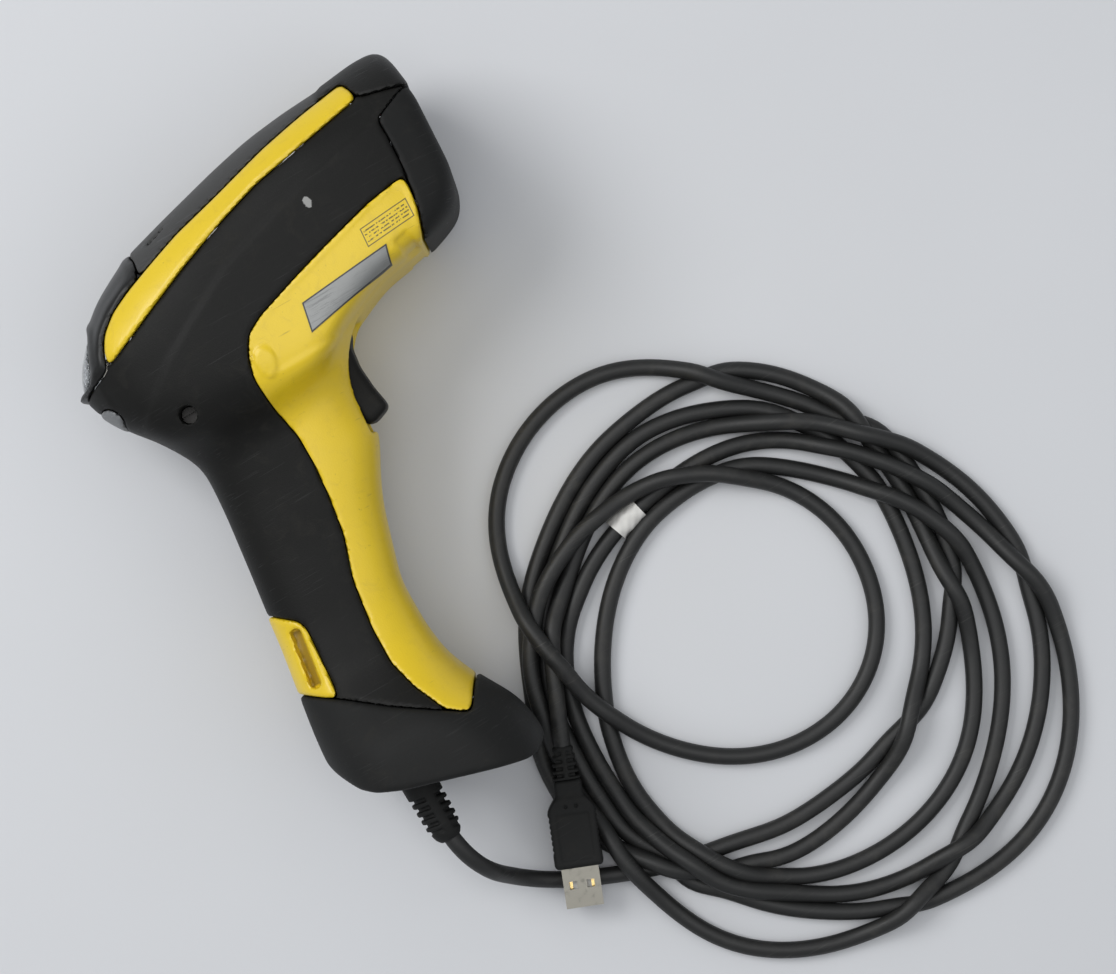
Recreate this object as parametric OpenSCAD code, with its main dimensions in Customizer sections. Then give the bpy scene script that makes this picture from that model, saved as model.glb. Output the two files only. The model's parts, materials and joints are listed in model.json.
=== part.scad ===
// Handheld barcode scanner with its lead and plug, lying on its right side.
//
// +X is the scanning direction, +Y runs up to the top of the head, and +Z is up.
// The origin is on the table, under the middle of the scanner's box.
// Most pieces are drawn about the scanner's own mid plane, and lay() lifts them to the table.

/* [Body] */
// Width across the head, which is the height of the scanner as it lies
head_w = 74; // [73:0.5:76]
// Thickness of the moulded walls
wall = 2.4; // [2:0.1:2.8]
// Thickness of the rubber foot
foot_wall = 3; // [2.8:0.1:3.2]
// Gap between two neighbouring covers
seam = 0.2; // [0.1:0.05:0.4]

/* [Trigger] */
// Width of the trigger
trigger_w = 17; // [15:0.5:18]
// Radius of the trigger pin
pin_r = 1.5; // [1.2:0.1:1.8]
// Radial clearance of the moving parts
running = 0.05; // [0.03:0.01:0.08]

/* [Lead] */
// Diameter of the cord
cord_d = 5.5; // [5:0.1:5.5]
// Height of the coiled part of the cord
coil_h = 15; // [12:1:16]
// Height of the middle of the plug above the table
plug_z = 10; // [9.8:0.1:11]

/* [Hidden] */

BLACK = [0.16, 0.16, 0.16];
RUBBER = [0.1, 0.1, 0.1];
GREY = [0.32, 0.33, 0.33];
YELLOW = [0.93, 0.79, 0.16];
STEEL = [0.75, 0.75, 0.76];
BOARD = [0.1, 0.35, 0.2];

// Head sections across X: place, lowest y, highest y, half width
HEAD = [
    [-67.7, 57, 63, 12], [-64, 47, 68.5, 20], [-58, 40, 75, 27], [-50, 30, 82.5, 32],
    [-36, 24, 90, 35], [-18, 24, 95, 37.5], [2, 28, 100.2, 38], [16, 37, 103.2, 38],
    [30, 43.2, 104.8, 37.5], [44, 45.3, 105.4, 36], [56, 48.8, 106.8, 33.5],
    [62, 53.5, 105.8, 31], [65.6, 61, 102.5, 28.5], [67.5, 74, 88, 25]
];
// Handle and foot sections across Y: place, rearmost x, foremost x, half width
HANDLE = [
    [40, -48, 14, 24], [30, -48, 10.5, 22], [17.5, -47, 7, 20.5], [5, -48, 6.5, 19.5],
    [-7, -49.5, 0, 19], [-15, -50.5, -3.7, 18.5], [-26, -52, -7.1, 18.5],
    [-39, -53.5, -10.7, 18.5], [-55, -56, -11, 20.5], [-65, -57.5, -9.7, 26],
    [-75, -58.5, -5.7, 33], [-82, -58.5, -1.6, 36.5], [-89, -58.5, 2.3, 38],
    [-100, -58.5, 4.2, 38], [-107, -58.5, 1.5, 37]
];
LOW_SHAPE = 3.6;   // squareness of a section below its middle
TOP_SHAPE = 2.3;   // squareness above it
SIDES = 32;        // points round a section
SLICE = 0.02;      // thickness of a section
FAR = 130;         // beyond every part of the scanner

// Side outline that trims the slanted sole of the foot
SOLE = [
    [-FAR, FAR], [FAR, FAR], [FAR, -FAR], [3.2, -104.5], [1, -106.6], [-2.5, -106.7],
    [-31.5, -97.8], [-39, -95.6], [-47.5, -92], [-51.7, -88.7], [-58.4, -78], [-FAR, -40]
];

// Side outlines of the covers
STRIPE_TOP = [
    [-54.5, 60.5], [-52.5, 66.5], [-50, 70.5], [-44.5, 75], [-38, 78], [-26, 82.5],
    [-16, 86], [0, 90], [20, 95.5], [36, 99], [50, 101.5]
];
STRIPE_LOW = [
    [52.3, 94.2], [34.1, 90.3], [12.2, 86.1], [-1.7, 81.8], [-19.7, 75], [-38.1, 67.2]
];
STRIPE = concat(STRIPE_TOP, STRIPE_LOW);
COVER = concat(
    [[-33, FAR], [-33, 89], [-31.6, 85], [-33, 80]],
    [for (p = STRIPE_TOP) if (p[0] > -30) p],
    [[52.3, 94.2], [66.4, 90.8], [FAR, 91], [FAR, FAR]]
);
WINDOW = [[-57.5, 79], [-56, 74.5], [-61, 61], [-64, 59.5], [-FAR, 59.5], [-FAR, 79]];
BEZEL = concat(
    [[-80, FAR], [-33, FAR], [-33, 89], [-31.6, 85], [-33, 80]],
    [for (i = [4:-1:0]) STRIPE_TOP[i]],
    [[-66, 57], [-80, 52]]
);
CAP = [[-80, 52], [-65, 51.5], [-61.5, 51.5], [-59, 49], [-58, 45.5], [-60.5, 42.5], [-66, 38], [-80, 38]];
CLIP = [[-70, -27], [-51.5, -28], [-43.5, -34], [-42.4, -37], [-44, -61], [-54.5, -54.3], [-70, -50]];
FOOT = [
    [-75, -50], [-54.5, -54.5], [-43, -61.5], [-31.5, -70], [-17, -79.5], [-10.5, -84],
    [-5, -75], [20, -75], [20, -120], [-75, -120]
];
GRIP = [
    [52.5, 66.5], [52.3, 62], [51.4, 56], [48.5, 48], [44.7, 43], [44.7, 20], [30, -74],
    [-5, -74.8], [-10.5, -83.8], [-17, -79.2], [-22, -69], [-25, -59], [-25, -48], [-23.4, -36],
    [-22.6, -31], [-18.3, -18], [-16.2, -5.4], [-15.2, 5], [-15.1, 14.6], [-17, 25.5],
    [-17, 35.5], [-15, 42.5], [-11.5, 48], [-6, 51], [9.4, 56], [21.3, 59.5], [39, 64.3]
];
BOOT = [
    [80, 90.5], [66, 90.5], [54, 85], [54.2, 79], [53.8, 70.5], [52.6, 62], [51.7, 56],
    [48.8, 48], [45, 43], [45, 30], [80, 30]
];
LABEL = [[7, 48.1], [37.8, 50.8], [35.6, 42.8], [5.1, 38.9]];

// Window in the nose: lowest y, highest y, half width
PANE_LOW = 64;
PANE_TOP = 88;
PANE_HALF = 19;
PANE_X = 60.2;    // its inner face
// Side screws and their recess
SCREW_AT = [-39.8, 36.5];
SCREW_SEAT = 24;
SCREW_R = 2.5;

// Trigger pin, and the side outline of the trigger
PIVOT = [1, 38];
TRIGGER = [
    [14.6, 36.1], [12, 31.5], [11.2, 25], [11.8, 17.5], [13, 10.8], [12.2, 9.4], [7, 7.6],
    [4, 8.4], [3, 15], [-3, 15.5], [-3, 20.5], [1, 23], [-3, 36], [1, 42], [5, 40.5]
];
TRIGGER_SLOT = [-10, 5.5, 32, 32.5];   // x, y, length and height of its opening in the grip
PAD_X = -3;                            // where the trigger presses the plunger
PAD_Y = 18;
EAR_IN = 11.5;                         // inner face of the chassis ears
EAR_OUT = 14.5;

// Chassis plate and spine
PLATE_Y = 53;
PLATE_T = 3;
SPINE_X = -20;
SPINE_T = 4;
OPTIC_Y = 72;   // height of the lens axis
ENGINE_X = 14;
ENGINE_END = 44;

// Lead: exit from the boot, down to the table, to the coil (x, y, z)
EXIT = [-37.7, -116.2];
LEAD = [
    [-37.7, -116.2, 37], [-37.2, -120.2, 36.6], [-36, -125, 35], [-34, -129.5, 32],
    [-32, -133.4, 26.8], [-30.8, -135.4, 21], [-29.4, -137.4, 15.2], [-26.6, -141, 10],
    [-21.8, -145, 6.4], [-16, -148.6, 5], [-11, -151, 4.8], [-4.5, -154, 3.8], [5, -158, 3],
    [14.5, -161.2, 2.8], [24, -163.6, 2.8]
];
TAIL = [[22, -75, 8], [18.5, -81, 8.5], [15.5, -87.5, 9.2], [12.3, -95, 9.8], [9, -102.5, 10], [5.5, -110.6, 10]];
// Coil: middle, and the distance out to its rim at each twelfth of a turn
COIL_AT = [73.4, -110.8];
RIM = [92, 82, 90, 101, 95, 74, 60, 58, 101, 105, 115, 106];
EYE_R = 34;
SLEEVE_AT = [60.3, -59.4, 12];
SLEEVE_TURN = 10;

// Plug: where the cord enters it, its heading, and the places of its pieces along it
PLUG_AT = [5.5, -110.6];
PLUG_TURN = -111.6;
RELIEF_L = 10.7;
NECK_L = 5.3;
BODY_L = 23;
SHELL_L = 12.7;
SHELL_W = 12;
SHELL_H = 4.5;
SHELL_T = 0.3;

// Point of a rounded section with half sizes a along y and b along z
function bent(v, n) = sign(v) * pow(abs(v), 2 / n);
function section_point(a, b, t) =
    let (n = cos(t) < 0 ? LOW_SHAPE : TOP_SHAPE)
    [a * bent(cos(t), n), b * bent(sin(t), n)];
function even_point(a, b, t) = [a * bent(cos(t), 2.6), b * bent(sin(t), 2.6)];

module lay() translate([0, 0, head_w / 2]) children();

module head_section(s, g) {
    a = (s[2] - s[1]) / 2 - g;
    points = [for (i = [0:SIDES - 1]) section_point(a, s[3] - g, i * 360 / SIDES)];
    translate([s[0] * (1 - g / 68), (s[1] + s[2]) / 2, 0])
        rotate([90, 0, 90])
            linear_extrude(SLICE)
                polygon(points);
}

module handle_section(s, g) {
    a = (s[2] - s[1]) / 2 - g;
    points = [for (i = [0:SIDES - 1]) even_point(a, s[3] - g, i * 360 / SIDES)];
    translate([(s[1] + s[2]) / 2, s[0], 0])
        rotate([90, 0, 0])
            linear_extrude(SLICE)
                polygon(points);
}

// The scanner's whole outer form, g inside its surface
module form(g) {
    intersection() {
        union() {
            for (i = [0:len(HEAD) - 2]) hull() {
                head_section(HEAD[i], g);
                head_section(HEAD[i + 1], g);
            }
            for (i = [0:len(HANDLE) - 2]) hull() {
                handle_section(HANDLE[i], g);
                handle_section(HANDLE[i + 1], g);
            }
        }
        prism() offset(delta = -g) polygon(SOLE);
        cube([4 * FAR, 4 * FAR, head_w - 2 * g], center = true);
    }
}

// A side outline carried through the whole width
module prism() linear_extrude(2 * FAR, center = true) children();

module skin(t = wall) difference() {
    form(0);
    form(t);
}

// The stretch of skin that a side outline covers
module cover(outline, t = wall) intersection() {
    skin(t);
    prism() polygon(outline);
}

module all_covers() for (outline = [STRIPE, COVER, BEZEL, CAP, CLIP, FOOT, GRIP, BOOT])
    offset(delta = seam) polygon(outline);

module left_side() translate([-FAR, -FAR, 0]) cube([2 * FAR, 2 * FAR, FAR]);

// Left half of the housing, in the scanner's own place
module housing_half() difference() {
    union() {
        difference() {
            skin();
            prism() all_covers();
        }
        intersection() {
            translate([SCREW_AT[0], SCREW_AT[1], 3]) cylinder(r = 4.4, h = 30, $fn = 32);
            form(wall / 2);
        }
    }
    mirror([0, 0, 1]) translate([0, 0, -seam / 2]) left_side();
    translate([SCREW_AT[0], SCREW_AT[1], SCREW_SEAT]) cylinder(r = SCREW_R + 0.3, h = 20, $fn = 32);
    translate([SCREW_AT[0], SCREW_AT[1], 0]) cylinder(r = 1.4, h = 30, $fn = 24);
}

module housing_left() color(BLACK) lay() housing_half();

module housing_right() color(BLACK) lay() mirror([0, 0, 1]) housing_half();

module front_grip() color(YELLOW) lay() difference() {
    cover(GRIP);
    translate([TRIGGER_SLOT[0], TRIGGER_SLOT[1], -trigger_w / 2 - 0.7])
        cube([TRIGGER_SLOT[2], TRIGGER_SLOT[3], trigger_w + 1.4]);
}

module stripe_half() intersection() {
    cover(STRIPE);
    left_side();
}

module stripe_left() color(YELLOW) lay() stripe_half();

module stripe_right() color(YELLOW) lay() mirror([0, 0, 1]) stripe_half();

module top_cover() color(GREY) lay() difference() {
    cover(COVER);
    for (z = [-7, 0, 7], x = [-24, -20])
        translate([x, 80, z]) rotate([-90, 0, 0]) cylinder(r = 0.8, h = 20, $fn = 16);
}

module rear_bezel() color(RUBBER) lay() difference() {
    cover(BEZEL);
    prism() offset(delta = seam) polygon(WINDOW);
}

module rear_window() color([0.8, 0.85, 0.9, 0.6]) lay() cover(WINDOW);

module rear_cap() color(GREY) lay() cover(CAP);

module rear_clip() color(YELLOW) lay() difference() {
    cover(CLIP, 2 * wall);
    for (side = [-1, 1]) translate([0, 0, side * 22]) hull() {
        translate([-46.2, -37.2, 0]) cylinder(r = 1.8, h = 20, center = true, $fn = 24);
        translate([-48.4, -52.8, 0]) cylinder(r = 1.8, h = 20, center = true, $fn = 24);
    }
}

module nose_boot() color(RUBBER) lay() difference() {
    cover(BOOT);
    translate([57, PANE_LOW, -PANE_HALF]) cube([20, PANE_TOP - PANE_LOW, 2 * PANE_HALF]);
}

module foot() color(RUBBER) lay() difference() {
    cover(FOOT, foot_wall);
    translate([EXIT[0], -110, 0]) rotate([-90, 0, 0]) cylinder(r = 6.1, h = 30, $fn = 40);
}

// Plain sticker that follows the curve of the side panel
module rating_label() color([0.7, 0.7, 0.7]) lay() intersection() {
    difference() {
        form(-0.15);
        form(0);
    }
    prism() polygon(LABEL);
    left_side();
}

module front_window() color([0.35, 0.08, 0.08, 0.6]) lay()
    translate([PANE_X, PANE_LOW - 1, -PANE_HALF - 1])
        cube([1.5, PANE_TOP - PANE_LOW + 2, 2 * PANE_HALF + 2]);

module window_gasket() color(RUBBER) lay() difference() {
    translate([PANE_X - 1.5, PANE_LOW - 1.5, -PANE_HALF - 1.5])
        cube([1.5, PANE_TOP - PANE_LOW + 3, 2 * PANE_HALF + 3]);
    translate([PANE_X - 2, PANE_LOW + 2, -PANE_HALF + 2])
        cube([3, PANE_TOP - PANE_LOW - 4, 2 * PANE_HALF - 4]);
}

// Slotted head on a shaft, one in each side
module housing_screws() color(STEEL) lay() for (side = [0, 1]) mirror([0, 0, side])
    translate([SCREW_AT[0], SCREW_AT[1], 0]) difference() {
        union() {
            translate([0, 0, SCREW_SEAT]) cylinder(r = SCREW_R, h = 2, $fn = 40);
            translate([0, 0, 4]) cylinder(r = 1.25, h = SCREW_SEAT - 4, $fn = 24);
        }
        translate([-3, -0.35, SCREW_SEAT + 1]) cube([6, 0.7, 3]);
    }

module chassis() color([0.25, 0.25, 0.27]) lay() difference() {
    union() {
        translate([SPINE_X, PLATE_Y, -20]) cube([66, PLATE_T, 40]);
        translate([SPINE_X, -46, -7]) cube([SPINE_T, 46 + PLATE_Y, 14]);
        translate([SPINE_X, PLATE_Y, -3]) cube([SPINE_T, 27, 6]);
        translate([-55, 64, -3]) cube([36, 3, 6]);
        for (z = [EAR_IN, -EAR_OUT])
            translate([-7, 33, z]) cube([11, PLATE_Y - 32, EAR_OUT - EAR_IN]);
    }
    translate([PIVOT[0], PIVOT[1], 0]) cylinder(r = pin_r + 0.02, h = 40, center = true, $fn = 40);
}

module trigger() color(BLACK) lay() difference() {
    union() {
        linear_extrude(trigger_w, center = true) polygon(TRIGGER);
        translate([PIVOT[0], PIVOT[1], 0]) cylinder(r = 4.4, h = trigger_w, center = true, $fn = 48);
    }
    translate([PIVOT[0], PIVOT[1], 0])
        cylinder(r = pin_r + running, h = 2 * trigger_w, center = true, $fn = 40);
}

module trigger_pin() color(STEEL) lay()
    translate([PIVOT[0], PIVOT[1], 0]) cylinder(r = pin_r, h = 2 * EAR_OUT + 1, center = true, $fn = 40);

// Torsion spring round the pin, with one leg on the chassis and one beside the trigger
module trigger_spring() color(STEEL) lay() {
    translate([PIVOT[0], PIVOT[1], trigger_w / 2 + 0.4]) difference() {
        cylinder(r = 3.2, h = 2.2, $fn = 40);
        translate([0, 0, -1]) cylinder(r = 2.4, h = 5, $fn = 40);
    }
    translate([PIVOT[0] - 3.2, PIVOT[1], trigger_w / 2 + 0.4]) cube([0.8, PLATE_Y - PIVOT[1], 0.8]);
    translate([PIVOT[0] + 2.4, PIVOT[1] - 10, trigger_w / 2 + 1.8]) cube([0.8, 10, 0.8]);
}

module switch_body() color(BLACK) lay() difference() {
    translate([SPINE_X + SPINE_T, PAD_Y - 4.5, -4.5]) cube([8, 9, 9]);
    translate([-14, PAD_Y, 0]) rotate([0, 90, 0]) cylinder(r = 1.7 + running, h = 20, $fn = 32);
}

module switch_plunger() color([0.7, 0.2, 0.15]) lay() translate([PAD_X - 0.3, PAD_Y, 0]) rotate([0, -90, 0]) {
    cylinder(r = 1.7, h = 8.6, $fn = 32);
    cylinder(r = 2.5, h = 1, $fn = 32);
}

module scan_engine() color([0.2, 0.2, 0.22]) lay() difference() {
    translate([ENGINE_X, PLATE_Y + PLATE_T, -17]) cube([ENGINE_END - ENGINE_X, 28, 34]);
    translate([ENGINE_END - 6, OPTIC_Y, 0]) rotate([0, 90, 0]) cylinder(r = 6.4, h = 10, $fn = 48);
}

module lens_barrel() color(BLACK) lay() translate([ENGINE_END, OPTIC_Y, 0]) rotate([0, 90, 0]) difference() {
    cylinder(r = 8, h = 10, $fn = 48);
    translate([0, 0, -1]) cylinder(r = 6.4, h = 12, $fn = 48);
}

module scan_lens() color([0.6, 0.7, 0.8, 0.6]) lay()
    translate([ENGINE_END + 5, OPTIC_Y, 0]) rotate([0, 90, 0]) cylinder(r = 6.4, h = 3, $fn = 48);

module illumination_lamps() color([0.9, 0.85, 0.8]) lay() for (z = [-12.5, 12.5])
    translate([ENGINE_END, OPTIC_Y, z]) rotate([0, 90, 0]) cylinder(r = 3, h = 4, $fn = 32);

module aimer() color([0.75, 0.6, 0.3]) lay()
    translate([ENGINE_END, 61, 0]) rotate([0, 90, 0]) cylinder(r = 2.3, h = 5, $fn = 32);

module sensor_board() color(BOARD) lay()
    translate([ENGINE_X - 1.6, 57, -15]) cube([1.6, 26, 30]);

module main_board() color(BOARD) lay() translate([SPINE_X - 2.2, -45, -13]) cube([1.6, 85, 26]);

module board_flex() color([0.75, 0.45, 0.15]) lay() translate([0, 0, 4]) linear_extrude(8) polygon([
    [12.4, 63.2], [-24.6, 63.2], [-24.6, 35.8], [-22.2, 35.8], [-22.2, 36.2], [-24.2, 36.2],
    [-24.2, 62.8], [12.4, 62.8]
]);

module beeper() color(BLACK) lay() translate([SPINE_X + 0.5, 80, 0]) rotate([-90, 0, 0]) difference() {
    cylinder(r = 6.5, h = 6, $fn = 48);
    translate([0, 0, 4]) cylinder(r = 1.2, h = 3, $fn = 24);
}

module status_lamp() color([0.3, 0.8, 0.4]) lay() translate([-60, 58, -7]) cube([5, 8, 14]);

module cable_socket() color(BLACK) lay() difference() {
    translate([EXIT[0] - 7, -88, -8]) cube([14, 20, 16]);
    translate([EXIT[0] - 4.2, -89, -4.7]) cube([8.4, 13.2, 9.4]);
}

module cable_connector() color([0.8, 0.8, 0.8]) lay()
    translate([EXIT[0] - 4, -92, -4.5]) cube([8, 16, 9]);

module strain_relief() color(RUBBER) lay() translate([EXIT[0], -92, 0]) rotate([90, 0, 0])
    rotate_extrude($fn = 48) polygon([[0, 0], [5.8, 0], [5.2, 19], [3.1, 24.2], [0, 24.2]]);

// Closed tube round a route, with a ring of points at each place on it
function heading(r, i) = r[min(i + 1, len(r) - 1)] - r[max(i - 1, 0)];
function ring(r, i, radius, n) =
    let (t = heading(r, i) / norm(heading(r, i)), s = cross(t, [0, 0, 1]) / norm(cross(t, [0, 0, 1])), u = cross(s, t))
    [for (k = [0:n - 1]) r[i] + radius * (cos(k * 360 / n) * s + sin(k * 360 / n) * u)];

module tube(route, radius, n = 12) {
    last = (len(route) - 1) * n;
    polyhedron(
        points = [for (i = [0:len(route) - 1]) each ring(route, i, radius, n)],
        faces = concat(
            [[for (k = [0:n - 1]) k]],
            [[for (k = [n - 1:-1:0]) last + k]],
            [for (i = [0:len(route) - 2], k = [0:n - 1])
                let (a = i * n + k, b = i * n + (k + 1) % n) each [[a, a + n, b], [b, a + n, b + n]]]
        )
    );
}

module cord_lead() color(RUBBER) tube(LEAD, cord_d / 2);

module cord_tail() color(RUBBER) tube(TAIL, cord_d / 2);

// Smooth way round the rim of the coil
function rim(i) = RIM[(i + 12) % 12];
function rim_at(t) =
    let (i = floor(t), f = t - i, a = rim(i - 1), b = rim(i), c = rim(i + 1), d = rim(i + 2))
    b + f * (c - a) / 2 + f * f * (2 * a - 5 * b + 4 * c - d) / 2 + f * f * f * (3 * b - a - 3 * c + d) / 2;

module cord_coil() color(RUBBER) translate([COIL_AT[0], COIL_AT[1], 0]) linear_extrude(coil_h) difference() {
    polygon([for (t = [0:0.25:11.75]) rim_at(t) * [cos(t * 30), sin(t * 30)]]);
    circle(r = EYE_R, $fn = 48);
}

module cord_sleeve() color([0.9, 0.9, 0.9]) translate(SLEEVE_AT) rotate([0, 90, SLEEVE_TURN])
    cylinder(r = 3.7, h = 11, center = true, $fn = 32);

// Along the plug: +X out of the cord into the plug
module on_plug(x) translate([PLUG_AT[0], PLUG_AT[1], plug_z]) rotate([0, 0, PLUG_TURN]) translate([x, 0, 0]) children();

module plug_relief() color(RUBBER) on_plug(0) rotate([0, 90, 0]) cylinder(r1 = 3.2, r2 = 4.2, h = RELIEF_L, $fn = 40);

module plug_body() color(RUBBER) on_plug(RELIEF_L) {
    translate([0, -4.5, -3.6]) cube([NECK_L, 9, 7.2]);
    translate([NECK_L, -7.85, -4]) cube([BODY_L, 15.7, 8]);
}

module plug_shell() color(STEEL) on_plug(RELIEF_L + NECK_L + BODY_L) difference() {
    translate([0, -SHELL_W / 2, -SHELL_H / 2]) cube([SHELL_L, SHELL_W, SHELL_H]);
    translate([0.5, SHELL_T - SHELL_W / 2, SHELL_T - SHELL_H / 2])
        cube([SHELL_L, SHELL_W - 2 * SHELL_T, SHELL_H - 2 * SHELL_T]);
    for (y = [-2.8, 2.8]) translate([4.2, y - 1.25, -5]) cube([2.5, 2.5, 10]);
}

module plug_tongue() color([0.85, 0.85, 0.85]) on_plug(RELIEF_L + NECK_L + BODY_L)
    translate([0.5, -5.55, -1.9]) cube([SHELL_L - 0.9, 11.1, 1.8]);

module plug_contacts() color([0.85, 0.7, 0.35]) on_plug(RELIEF_L + NECK_L + BODY_L) for (y = [-3.5, -1, 1, 3.5])
    translate([3, y - 0.5, -0.1]) cube([8, 1, 0.2]);

housing_left();
housing_right();
front_grip();
stripe_left();
stripe_right();
top_cover();
rear_bezel();
rear_window();
rear_cap();
rear_clip();
nose_boot();
front_window();
window_gasket();
foot();
rating_label();
housing_screws();
chassis();
trigger();
trigger_pin();
trigger_spring();
switch_body();
switch_plunger();
scan_engine();
lens_barrel();
scan_lens();
illumination_lamps();
aimer();
sensor_board();
main_board();
board_flex();
beeper();
status_lamp();
cable_socket();
cable_connector();
strain_relief();
cord_lead();
cord_coil();
cord_tail();
cord_sleeve();
plug_relief();
plug_body();
plug_shell();
plug_tongue();
plug_contacts();
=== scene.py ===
"""Looks of a handheld barcode scanner that lies on its side, with its loosely coiled lead."""
import json
import math

import bpy
import numpy as np
from bpy.props import FloatProperty, FloatVectorProperty, IntProperty, PointerProperty
from mathutils import Matrix, Vector


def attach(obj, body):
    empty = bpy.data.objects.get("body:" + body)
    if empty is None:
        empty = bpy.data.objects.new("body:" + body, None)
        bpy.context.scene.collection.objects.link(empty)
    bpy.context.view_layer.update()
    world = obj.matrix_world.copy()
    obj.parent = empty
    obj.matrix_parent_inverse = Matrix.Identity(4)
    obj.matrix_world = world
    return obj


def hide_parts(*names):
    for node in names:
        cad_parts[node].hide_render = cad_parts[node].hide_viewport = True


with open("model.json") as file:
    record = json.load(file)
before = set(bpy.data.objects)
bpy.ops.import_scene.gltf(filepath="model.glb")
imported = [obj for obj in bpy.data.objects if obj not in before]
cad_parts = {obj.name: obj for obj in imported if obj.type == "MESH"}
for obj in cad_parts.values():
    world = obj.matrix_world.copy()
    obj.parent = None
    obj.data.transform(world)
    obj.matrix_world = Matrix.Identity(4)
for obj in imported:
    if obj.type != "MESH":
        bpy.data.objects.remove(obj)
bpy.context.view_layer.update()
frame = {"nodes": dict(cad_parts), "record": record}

bl_info = {
    "name": "Handheld barcode scanner",
    "version": (1, 0, 0),
    "blender": (4, 5, 0),
    "location": "View3D > Sidebar > Scanner",
    "description": "Covers, lead, plug and finishes of a pistol-grip barcode scanner",
    "category": "Object",
}

# The places and sizes below are in millimetres, from the frame's own origin in X and Y. Heights of the
# scanner's own pieces are from its mid plane, because both of its sides have the same shape.
MM = 0.001        # one of them in metres
MIDDLE = 37.0     # height of the scanner's mid plane above the table
FAR = 300.0       # beyond the whole object
HALF_RIGHT = 0.7071  # sine of 45 degrees
WALL = 2.4        # thickness of the covers
FORM_X = (-74, 74)  # the block that the outer form is worked out in
FORM_Y = (-112, 112)
REAR_END = -68.0  # the head is cut off behind this, and the handle above the next
HANDLE_TOP = 46
REAR_EDGE = 5.0   # how far the form's faces run into each other
NECK_BLEND = 9.0
SIDE_EDGE = 3.0
NOSE_EDGE = 6.0
SOLE_EDGE = 2.0
HALF_WIDTH = 37.0  # the sides are flattened at this distance from the mid plane

# Head sections across X: place, lowest y, highest y, half width
HEAD = [
    (-70, 59.5, 61.5, 6), (-67.7, 56.5, 63.5, 12), (-64, 47, 68.5, 20), (-58, 40, 75, 27),
    (-50, 30, 82.5, 32), (-36, 24, 90, 35.5), (-18, 24, 95, 37.6), (2, 28, 100.2, 38),
    (16, 37, 103.2, 38), (30, 43.2, 104.8, 37.6), (44, 45.3, 105.6, 36), (56, 48.6, 107.2, 33.8),
    (62, 51.4, 107, 31.8), (68, 54, 106, 30), (74, 56, 105, 28.5),
]
# Handle and foot sections across Y: place, rearmost x, foremost x, half width
HANDLE = [
    (-112, -58.5, 1.5, 37), (-100, -58.5, 4.2, 38), (-89, -58.5, 2.3, 38), (-82, -58.5, -1.6, 36.5),
    (-75, -58.5, -5.7, 33), (-65, -57.5, -9.7, 26), (-55, -56, -11, 20.5), (-39, -53.5, -10.9, 18.5),
    (-26, -52, -7.1, 18.5), (-15, -50.5, -3.7, 18.5), (-7, -49.5, 0, 19), (5, -48, 6.5, 19.5),
    (17.5, -47, 7, 20.5), (30, -48, 10.5, 22), (40, -48, 14, 24),
]
# How square the head's lower corners are, along X
LOW_SHAPE = [(-20, 3.6), (8, 8), (50, 8), (66, 4.5)]
TOP_SHAPE = 2.3
HANDLE_SHAPE = 2.6
NOSE = [
    (-FAR, FAR), (63.2, FAR), (66.1, 103), (67.6, 86.1), (66.4, 64.5), (64.4, 54), (58, -FAR), (-FAR, -FAR),
]
SOLE = [
    (-FAR, FAR), (FAR, FAR), (FAR, -FAR), (3.6, -102.8), (0.6, -104.9), (-3, -104.7), (-31.5, -96),
    (-39, -93.9), (-47.5, -90.5), (-51.6, -87.5), (-58.4, -78), (-140, 40),
]
STRIPE_TOP = [
    (-54.5, 60.5), (-52.5, 66.5), (-50, 70.5), (-44.5, 75), (-38, 78), (-26, 82.5), (-16, 86),
    (0, 90), (20, 95.5), (36, 99), (50, 101.5),
]
STRIPE = STRIPE_TOP + [(52.3, 94.2), (34.1, 90.3), (12.2, 86.1), (-1.7, 81.8), (-19.7, 75), (-38.1, 67.2)]
COVER_BACK = [(-33, 130), (-33, 89), (-31.6, 85), (-33, 80)]
COVER = (
    COVER_BACK + [p for p in STRIPE_TOP if p[0] > -30]
    + [(52.3, 94.2), (66.4, 90.8), (130, 91), (130, 130)]
)
WINDOW = [(-57.5, 79), (-56, 74.5), (-61, 61), (-64, 59.5), (-130, 59.5), (-130, 79)]
BEZEL = [(-80, 130)] + COVER_BACK + STRIPE_TOP[4::-1] + [(-66, 57), (-80, 52)]
CAP = [(-80, 52), (-65, 51.5), (-61.5, 51.5), (-59, 49), (-58, 45.5), (-60.5, 42.5), (-66, 38), (-80, 38)]
CLIP = [(-70, -27), (-51.5, -28), (-43.5, -34), (-42.4, -37), (-44, -61), (-54.5, -54.3), (-70, -50)]
FOOT = [
    (-75, -50), (-54.5, -54.5), (-43, -61.5), (-31.5, -70), (-17, -79.5), (-10.5, -84),
    (-5, -75), (20, -75), (20, -120), (-75, -120),
]
GRIP = [
    (52.5, 66.5), (52.3, 62), (51.4, 56), (48.5, 48), (44.7, 43), (44.7, 20), (30, -74),
    (-5, -74.8), (-10.5, -83.8), (-17, -79.2), (-22, -69), (-25, -59), (-25, -48), (-23.4, -36),
    (-22.6, -31), (-18.3, -18), (-16.2, -5.4), (-15.2, 5), (-15.1, 14.6), (-17, 25.5),
    (-17, 35.5), (-15, 42.5), (-11.5, 48), (-6, 51), (9.4, 56), (21.3, 59.5), (39, 64.3),
]
BOOT = [
    (80, 90.5), (66, 90.5), (54, 85), (54.2, 79), (53.8, 70.5), (52.6, 62), (51.7, 56),
    (48.8, 48), (45, 43), (45, 30), (80, 30),
]
COVERS = [STRIPE, COVER, BEZEL, CAP, CLIP, FOOT, GRIP, BOOT]
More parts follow.
